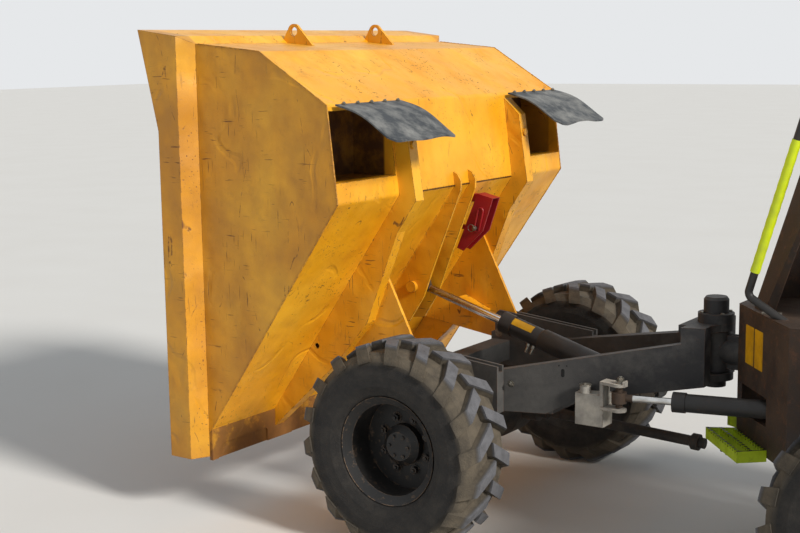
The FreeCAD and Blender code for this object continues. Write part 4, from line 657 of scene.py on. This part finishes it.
class DUMPER_OT_flaps(bpy.types.Operator):
    """Rubber flaps over the wheel recesses, bolted along their root and drooping to a rounded edge"""

    bl_idname = "dumper.flaps"
    bl_label = "Rubber flaps"

    def execute(self, context):
        # The sheet's side view from its root to its free edge, and its place across the machine
        line = ((0.217, 1.789), (0.170, 1.778), (0.120, 1.763), (0.070, 1.739), (0.020, 1.706),
                (-0.030, 1.672), (-0.072, 1.653))
        middle, half = 0.659, 0.222
        corner_from, corner_back = 0.72, 0.17
        fixings = bmesh.new()
        for name, sign in SIDES.items():
            mesh = bmesh.new()
            for vert in bmesh.ops.create_grid(mesh, x_segments=36, y_segments=30, size=1)["verts"]:
                u, v = (vert.co.x + 1) / 2, vert.co.y
                # Free corners rounded by drawing the edge back near the sides
                corner = max(0.0, (abs(v) - corner_from) / (1 - corner_from))
                u *= 1 - corner_back * (1 - math.sqrt(max(0.0, 1 - corner * corner)))
                x, z = along_curve(line, u)
                sag = 0.010 * u * u * (v * v - 0.4) + 0.004 * u * math.sin(v * 5 + sign)
                vert.co = at(x, (middle + half * v) * sign, z - max(sag, -0.006))
            bmesh.ops.solidify(mesh, geom=mesh.faces[:], thickness=context.scene.dumper_sizes.rubber)
            publish("flap_" + name, mesh, "skip", "flap_rubber", stands_for=("flaps",))
            for count in range(5):
                place = at(0.204, (0.475 + 0.092 * count) * sign, 1.788)
                add_nut(fixings, place, (-0.3, 0, 0.95), 0.013, 0.007)
        publish("flap_bolts", fixings, "skip", "zinc")
        return {"FINISHED"}


class DUMPER_OT_skip_details(bpy.types.Operator):
    """Weld beads on the skip, and the prop's strap, pin and clip"""

    bl_idname = "dumper.skip_details"
    bl_label = "Skip details"

    def execute(self, context):
        radius = context.scene.dumper_sizes.weld
        # Beads round the side plates' edges, and along both sides of the middle fins
        tub = ((0.900, 2.029), (0.574, 1.996), (0.237, 1.786), (0.193, 1.400), (0.900, 0.390))
        edge = 0.9095
        mesh = bmesh.new()
        for sign in SIDES.values():
            for one, two in zip(tub, tub[1:]):
                add_bead(mesh, at(one[0], edge * sign, one[1]), at(two[0], edge * sign, two[1]), radius * 0.7)
            for y in (0.054, 0.066):
                add_bead(mesh, at(0.225, y * sign, 1.354), at(0.600, y * sign, 0.819), radius)
        publish("skip_welds", mesh, "skip", "yellow_paint")
        mesh = bmesh.new()
        add_bead(mesh, at(0.192, -0.420, 1.402), at(0.192, 0.420, 1.402), radius * 0.8)
        publish("floor_seam", mesh, "skip", "weld")

        # A slotted strap hangs on the prop's left flange and hooks over a cross pin
        mesh = bmesh.new()
        top, low = at(0.170, -0.113, 1.272), at(0.190, -0.113, 1.190)
        down = (low - top).normalized()
        across = down.cross(Vector((0, 1, 0)))
        bend, turns = 0.013, (0, 0.6, 1.2, 1.57, 1.94, 2.54, 3.14)
        loop = [top + (across * math.cos(t) - down * math.sin(t)) * bend for t in turns]
        loop += [low + (down * math.sin(t) - across * math.cos(t)) * bend for t in turns]
        add_tube(mesh, loop + loop[:1], 0.0042, 8)
        publish("prop_strap", mesh, "skip", "prop_paint")

        # The cross pin, its collar and its spring ring
        mesh = bmesh.new()
        pin, eye = at(0.197, 0, 1.193), 0.016
        for start, end, radius, segments in ((-0.205, -0.096, 0.0065, 14), (-0.103, -0.099, 0.012, 18)):
            one, two = pin + Vector((0, start, 0)), pin + Vector((0, end, 0))
            add_rod(mesh, one, two, radius, segments, chamfer=0.001)
        ring = [
            pin + Vector((eye + eye * math.cos(t * 0.4), -0.100, eye * math.sin(t * 0.4))) for t in range(16)]
        add_tube(mesh, ring, 0.0018, 6)
        publish("prop_pin", mesh, "skip", "zinc")
        return {"FINISHED"}


class DUMPER_OT_frame_details(bpy.types.Operator):
    """Bolts, washers, cut-outs and oil ports of the front frame and its rams"""

    bl_idname = "dumper.frame_details"
    bl_label = "Frame details"

    def execute(self, context):
        mesh = bmesh.new()
        for sign in SIDES.values():
            add_nut(mesh, at(-0.285, 0.396 * sign, 0.640), (0, sign, 0), 0.019, 0.011)
        # Steering bracket: the pin's head on the upper plate, and the boss with its screw
        add_nut(mesh, at(-0.744, 0.330, 0.697), UP, 0.024, 0.013)
        boss = at(-0.590, 0.330, 0.662)
        add_rod(mesh, boss, boss + Vector((0, 0, 0.003)), 0.025, 28, chamfer=0.0008)
        add_rod(mesh, boss, boss + Vector((0, 0, 0.007)), 0.010, 6, chamfer=0.001)
        # Four screws round the pivot pin's cap
        cap, ring = at(-1.0, 0, 0.943), 0.060
        for count in range(4):
            angle = math.tau * (count + 0.5) / 4
            place = cap + Vector((ring * math.cos(angle), ring * math.sin(angle), 0))
            add_rod(mesh, place, place + Vector((0, 0, 0.007)), 0.008, 6, chamfer=0.001)
        publish("frame_bolts", mesh, "front_unit", "zinc")

        # A slot and two small holes in the left rail's bent face, drawn as thin near-black plates of painted
        # shade on the face
        mesh = bmesh.new()
        outward, along, dark = Vector((-0.283, 0.959, 0)), Vector((0.959, 0.283, 0)), 0.0006
        # The face is 160 mm off the centreline at the pivot's end and runs outwards from there
        face = 0.160 + (1.020 - 0.482) * 0.295
        middle = at(-0.482, face, 0.694) + outward * 0.0002
        add_plate(mesh, rounded_outline(0.014, 0.034, 0.0068), dark, facing(outward, UP, middle))
        for offset in (-0.016, 0.016):
            place = middle + along * offset + Vector((0, 0, 0.030))
            add_plate(mesh, rounded_outline(0.006, 0.006, 0.0029), dark, facing(outward, UP, place))
        publish("rail_slot", mesh, "front_unit", "shadow")

        # The tip barrel's rear part is the thicker, and its oil ports stand below
        foot, run = at(*RAM_FOOT), RAM_RUN
        down = Vector((run.z, 0, -run.x))
        mesh = bmesh.new()
        section = [(0.085, 0.0435), (0.095, 0.0474), (0.548, 0.0476), (0.556, 0.0435)]
        corners = [mesh.verts.new(foot + run * far - down * radius) for far, radius in section]
        ring = bmesh.ops.contextual_create(mesh, geom=corners)["faces"]
        bmesh.ops.spin(mesh, geom=ring, cent=foot, axis=run, angle=math.tau, steps=36)
        bmesh.ops.delete(mesh, geom=ring, context="FACES_ONLY")
        publish("barrel_jacket", mesh, "tip_barrel", "ram_paint")
        mesh = bmesh.new()
        side = (down * 0.94 + Vector((0, 0.34, 0))).normalized()
        for far in (0.575, 0.600):
            place = foot + run * far + side * 0.040
            add_rod(mesh, place, place + side * 0.018, 0.010, 6, chamfer=0.001)
            add_rod(mesh, place + side * 0.018, place + side * 0.042, 0.007, 12, chamfer=0.001)
        publish("barrel_ports", mesh, "tip_barrel", "zinc")
        return {"FINISHED"}


class DUMPER_OT_cushions(bpy.types.Operator):
    """The driver's cushion and backrest, stuffed, piped and sewn into channels"""

    bl_idname = "dumper.cushions"
    bl_label = "Seat cushions"

    def execute(self, context):
        lean = math.radians(-12)
        upright = Matrix.Rotation(lean, 4, "Y") @ Matrix.Rotation(math.radians(90), 4, "Y")
        pads = {
            "seat_cushion": ((0.175, 0.222, 0.044), Matrix.Translation(at(-1.900, 0, 1.327))),
            "seat_back": ((0.150, 0.222, 0.030), Matrix.Translation(at(-2.103, 0, 1.545)) @ upright),
        }
        square, inset, seam = 0.16, 0.985, 0.36
        for name, (half, matrix) in pads.items():
            mesh = bmesh.new()
            add_pad(mesh, half, matrix, (-0.130, -0.045, 0.045, 0.130))
            pad = publish(name, mesh, "rear_unit", "seat_cover", smooth=60, stands_for=("seat",))
            # Piping round the pad, on a rounded square
            mesh = bmesh.new()
            rim = []
            for turn in (math.tau * t / 96 for t in range(97)):
                a = math.copysign(abs(math.cos(turn)) ** square, math.cos(turn))
                b = math.copysign(abs(math.sin(turn)) ** square, math.sin(turn))
                rim.append(matrix @ Vector((a * half[0] * inset, b * half[1] * inset, half[2] * seam)))
            add_tube(mesh, rim, 0.0045, 8)
            publish(name + "_piping", mesh, "rear_unit", "seat_cover", smooth=60)
        return {"FINISHED"}


class DUMPER_OT_rear_details(bpy.types.Operator):
    """Bolts, bulkhead wings, tank caps and dials, the bonnet's folds and mesh, and the levers' knobs"""

    bl_idname = "dumper.rear_details"
    bl_label = "Rear details"

    def execute(self, context):
        mesh = bmesh.new()
        for sign in SIDES.values():
            # Cowl foot: a bent tab held by one bolt
            tab = facing(UP, (1, 0, 0), at(-1.300, 0.205 * sign, 1.0))
            add_plate(mesh, rounded_outline(0.040, 0.070, 0.006), 0.006, tab, 0.001)
            add_nut(mesh, at(-1.290, 0.205 * sign, 1.006), UP, 0.017, 0.009)
            # Three bolts in each mudguard's top, and two through each roll bar post
            for ahead in (-0.36, -0.10, 0.16):
                add_nut(mesh, at(AXLES["rear"] + ahead, 0.700 * sign, 0.998), UP, 0.016, 0.008)
            for rise in (-0.030, 0.030):
                add_nut(mesh, at(-2.100 + rise * 0.5, 0.514 * sign, 1.330 + rise), (0, sign, 0), 0.018, 0.009)
        publish("rear_bolts", mesh, "rear_unit", "zinc")

        # The bulkhead reaches out past the seat box to close the bonnet's front
        mesh = bmesh.new()
        for sign in SIDES.values():
            wing = facing((-1, 0, 0), UP, at(-2.145, 0.3145 * sign, 1.152))
            add_plate(mesh, rounded_outline(0.101, 0.296, 0.012), 0.006, wing, 0.001)
        publish("bulkhead_wings", mesh, "rear_unit", "body_paint")

        # Round caps on the tanks' outer faces, each with three finger lugs
        mesh = bmesh.new()
        for sign in SIDES.values():
            cap, thick, ring = at(-1.650, 0.448 * sign, 0.900), 0.012 * sign, 0.026
            add_rod(mesh, cap, cap + Vector((0, thick, 0)), 0.036, 24, chamfer=0.003)
            for count in range(3):
                turn = math.tau * count / 3
                lug = cap + Vector((ring * math.cos(turn), thick, ring * math.sin(turn)))
                add_rod(mesh, lug, lug + Vector((0, 0.007 * sign, 0)), 0.008, 12, chamfer=0.002)
        publish("tank_caps", mesh, "rear_unit", "wheel_plastic")

        # Two dials on the cowl's rear face, which are left blank
        mesh = bmesh.new()
        rearward = Vector((-0.97, 0, 0.24)).normalized()
        for y in (0.110, -0.110):
            seat = at(-1.5425, y, 1.520)
            add_rod(mesh, seat, seat + rearward * 0.010, 0.030, 32, chamfer=0.003)
        publish("cowl_dials", mesh, "rear_unit", "wheel_plastic")

        # The bonnet's two long folds: a strip's section swept about the middle of each bend
        mesh = bmesh.new()
        first, sweep, half, inside, outside = math.radians(11), math.radians(68), 0.332, 0.0421, 0.0447
        section = ((-half, inside), (-half, outside), (half, outside), (half, inside))
        for sign in SIDES.values():
            middle = at(-2.495, 0.325 * sign, 1.265)
            outward = Vector((0, math.cos(first) * sign, math.sin(first)))
            corners = [middle + Vector((along, 0, 0)) + outward * radius for along, radius in section]
            strip = mesh.faces.new([mesh.verts.new(corner) for corner in corners])
            bmesh.ops.spin(mesh, geom=[strip], cent=middle, axis=(sign, 0, 0), angle=sweep, steps=14)
        publish("bonnet_folds", mesh, "bonnet", "fold_paint")

        # Wire mesh behind the bonnet's slots
        mesh = bmesh.new()
        pitch, wire = 0.015, 0.0016
        for count in range(31):
            y = -0.225 + pitch * count
            add_rod(mesh, at(-2.818, y, 0.915), at(-2.818, y, 1.205), wire, 6)
        for count in range(20):
            z = 0.920 + pitch * count
            add_rod(mesh, at(-2.8145, -0.230, z), at(-2.8145, 0.230, z), wire, 6)
        publish("bonnet_mesh", mesh, "bonnet", "mesh_wire")

        mesh = bmesh.new()
        for x in (-1.870, -1.930):
            for vert in bmesh.ops.create_uvsphere(mesh, u_segments=20, v_segments=12, radius=0.021)["verts"]:
                vert.co = at(x, -0.355, 1.322) + Vector((vert.co.x, vert.co.y, vert.co.z * 1.15))
        publish("lever_knobs", mesh, "rear_unit", "wheel_plastic")
        return {"FINISHED"}


def add_floor(scene):
    """A pale floor that runs out to the horizon."""
    mesh = bmesh.new()
    bmesh.ops.create_grid(mesh, x_segments=1, y_segments=1, size=60)
    data = bpy.data.meshes.new("floor")
    mesh.to_mesh(data)
    mesh.free()
    floor = bpy.data.objects.new("floor", data)
    scene.collection.objects.link(floor)
    material, tree, place = blank("pale studio floor")
    shade = mix(tree, noise(tree, place, 900, 4.0), "#D5D3CF", "#DBDAD7")
    finish_surface(tree, shade, 0.9)
    data.materials.append(material)


def add_light(scene):
    """A dim sky behind a pale backdrop, and a low sun."""
    world = bpy.data.worlds.new("studio")
    scene.world = world
    world.use_nodes = True
    tree = world.node_tree
    tree.nodes.clear()
    path = node(tree, "LightPath").outputs
    seen = larger(tree, path["Is Camera Ray"], larger(
        tree, path["Is Glossy Ray"], path["Is Transmission Ray"]))
    light = node(tree, "Background", {"Color": (0.90, 0.95, 1.0, 1), "Strength": 0.42})
    backdrop = node(tree, "Background", {"Color": linear("#E6E8EA"), "Strength": 1.0})
    both = node(tree, "MixShader", {"Fac": seen, 1: light.outputs[0], 2: backdrop.outputs[0]})
    node(tree, "OutputWorld", {"Surface": both.outputs[0]})

    key = bpy.data.lights.new("key", "SUN")
    key.energy = 3.7
    key.angle = math.radians(12)
    key.color = (1.0, 0.97, 0.92)
    lamp = bpy.data.objects.new("key", key)
    # Low behind the machine, so that it grazes the skip's sides and shows their dents
    lamp.matrix_world = turn_to((-1.0, 0.14, 0.60))
    scene.collection.objects.link(lamp)


def add_camera(scene):
    """The photograph's camera."""
    lens = bpy.data.cameras.new("camera")
    lens.sensor_width = 36.0
    lens.lens = 62.17
    camera = bpy.data.objects.new("camera", lens)
    yaw, pitch, roll = math.radians(-55.03), math.radians(9.008), math.radians(0.794)
    forward = Vector((math.cos(pitch) * math.cos(yaw), math.cos(pitch) * math.sin(yaw), -math.sin(pitch)))
    right = Vector((math.sin(yaw), -math.cos(yaw), 0))
    down = forward.cross(right)
    across = right * math.cos(roll) + down * math.sin(roll)
    below = down * math.cos(roll) - right * math.sin(roll)
    basis = Matrix((across, -below, -forward)).transposed().to_4x4()
    camera.matrix_world = Matrix.Translation(at(-3.070, 5.157, 2.003)) @ basis
    scene.collection.objects.link(camera)
    scene.camera = camera
    scene.view_settings.view_transform = "Standard"


class DUMPER_OT_stage(bpy.types.Operator):
    """Pale floor, soft lights and the photograph's camera"""

    bl_idname = "dumper.stage"
    bl_label = "Stage"

    def execute(self, context):
        add_floor(context.scene)
        add_light(context.scene)
        add_camera(context.scene)
        return {"FINISHED"}


class DUMPER_PT_panel(bpy.types.Panel):
    """Sizes, finishes and pieces of the dumper"""

    bl_label = "Site Dumper"
    bl_idname = "DUMPER_PT_panel"
    bl_space_type = "VIEW_3D"
    bl_region_type = "UI"
    bl_category = "Dumper"

    def draw(self, context):
        for group in (context.scene.dumper_finish, context.scene.dumper_sizes):
            for name in group.bl_rna.properties.keys():
                if name not in ("rna_type", "name"):
                    self.layout.prop(group, name)
        for operator in OPERATORS:
            self.layout.operator(operator.bl_idname)


OPERATORS = (
    DUMPER_OT_paint,
    DUMPER_OT_wheel_fixings,
    DUMPER_OT_plates,
    DUMPER_OT_sleeves,
    DUMPER_OT_flaps,
    DUMPER_OT_skip_details,
    DUMPER_OT_frame_details,
    DUMPER_OT_cushions,
    DUMPER_OT_rear_details,
    DUMPER_OT_stage,
)
CLASSES = (DumperFinish, DumperSizes) + OPERATORS + (DUMPER_PT_panel,)


def register():
    for kind in CLASSES:
        bpy.utils.register_class(kind)
    bpy.types.Scene.dumper_finish = bpy.props.PointerProperty(type=DumperFinish)
    bpy.types.Scene.dumper_sizes = bpy.props.PointerProperty(type=DumperSizes)


def unregister():
    del bpy.types.Scene.dumper_sizes
    del bpy.types.Scene.dumper_finish
    for kind in reversed(CLASSES):
        bpy.utils.unregister_class(kind)


def main():
    register()
    for operator in OPERATORS:
        group, name = operator.bl_idname.split(".")
        getattr(getattr(bpy.ops, group), name)()


if __name__ == "__main__":
    main()
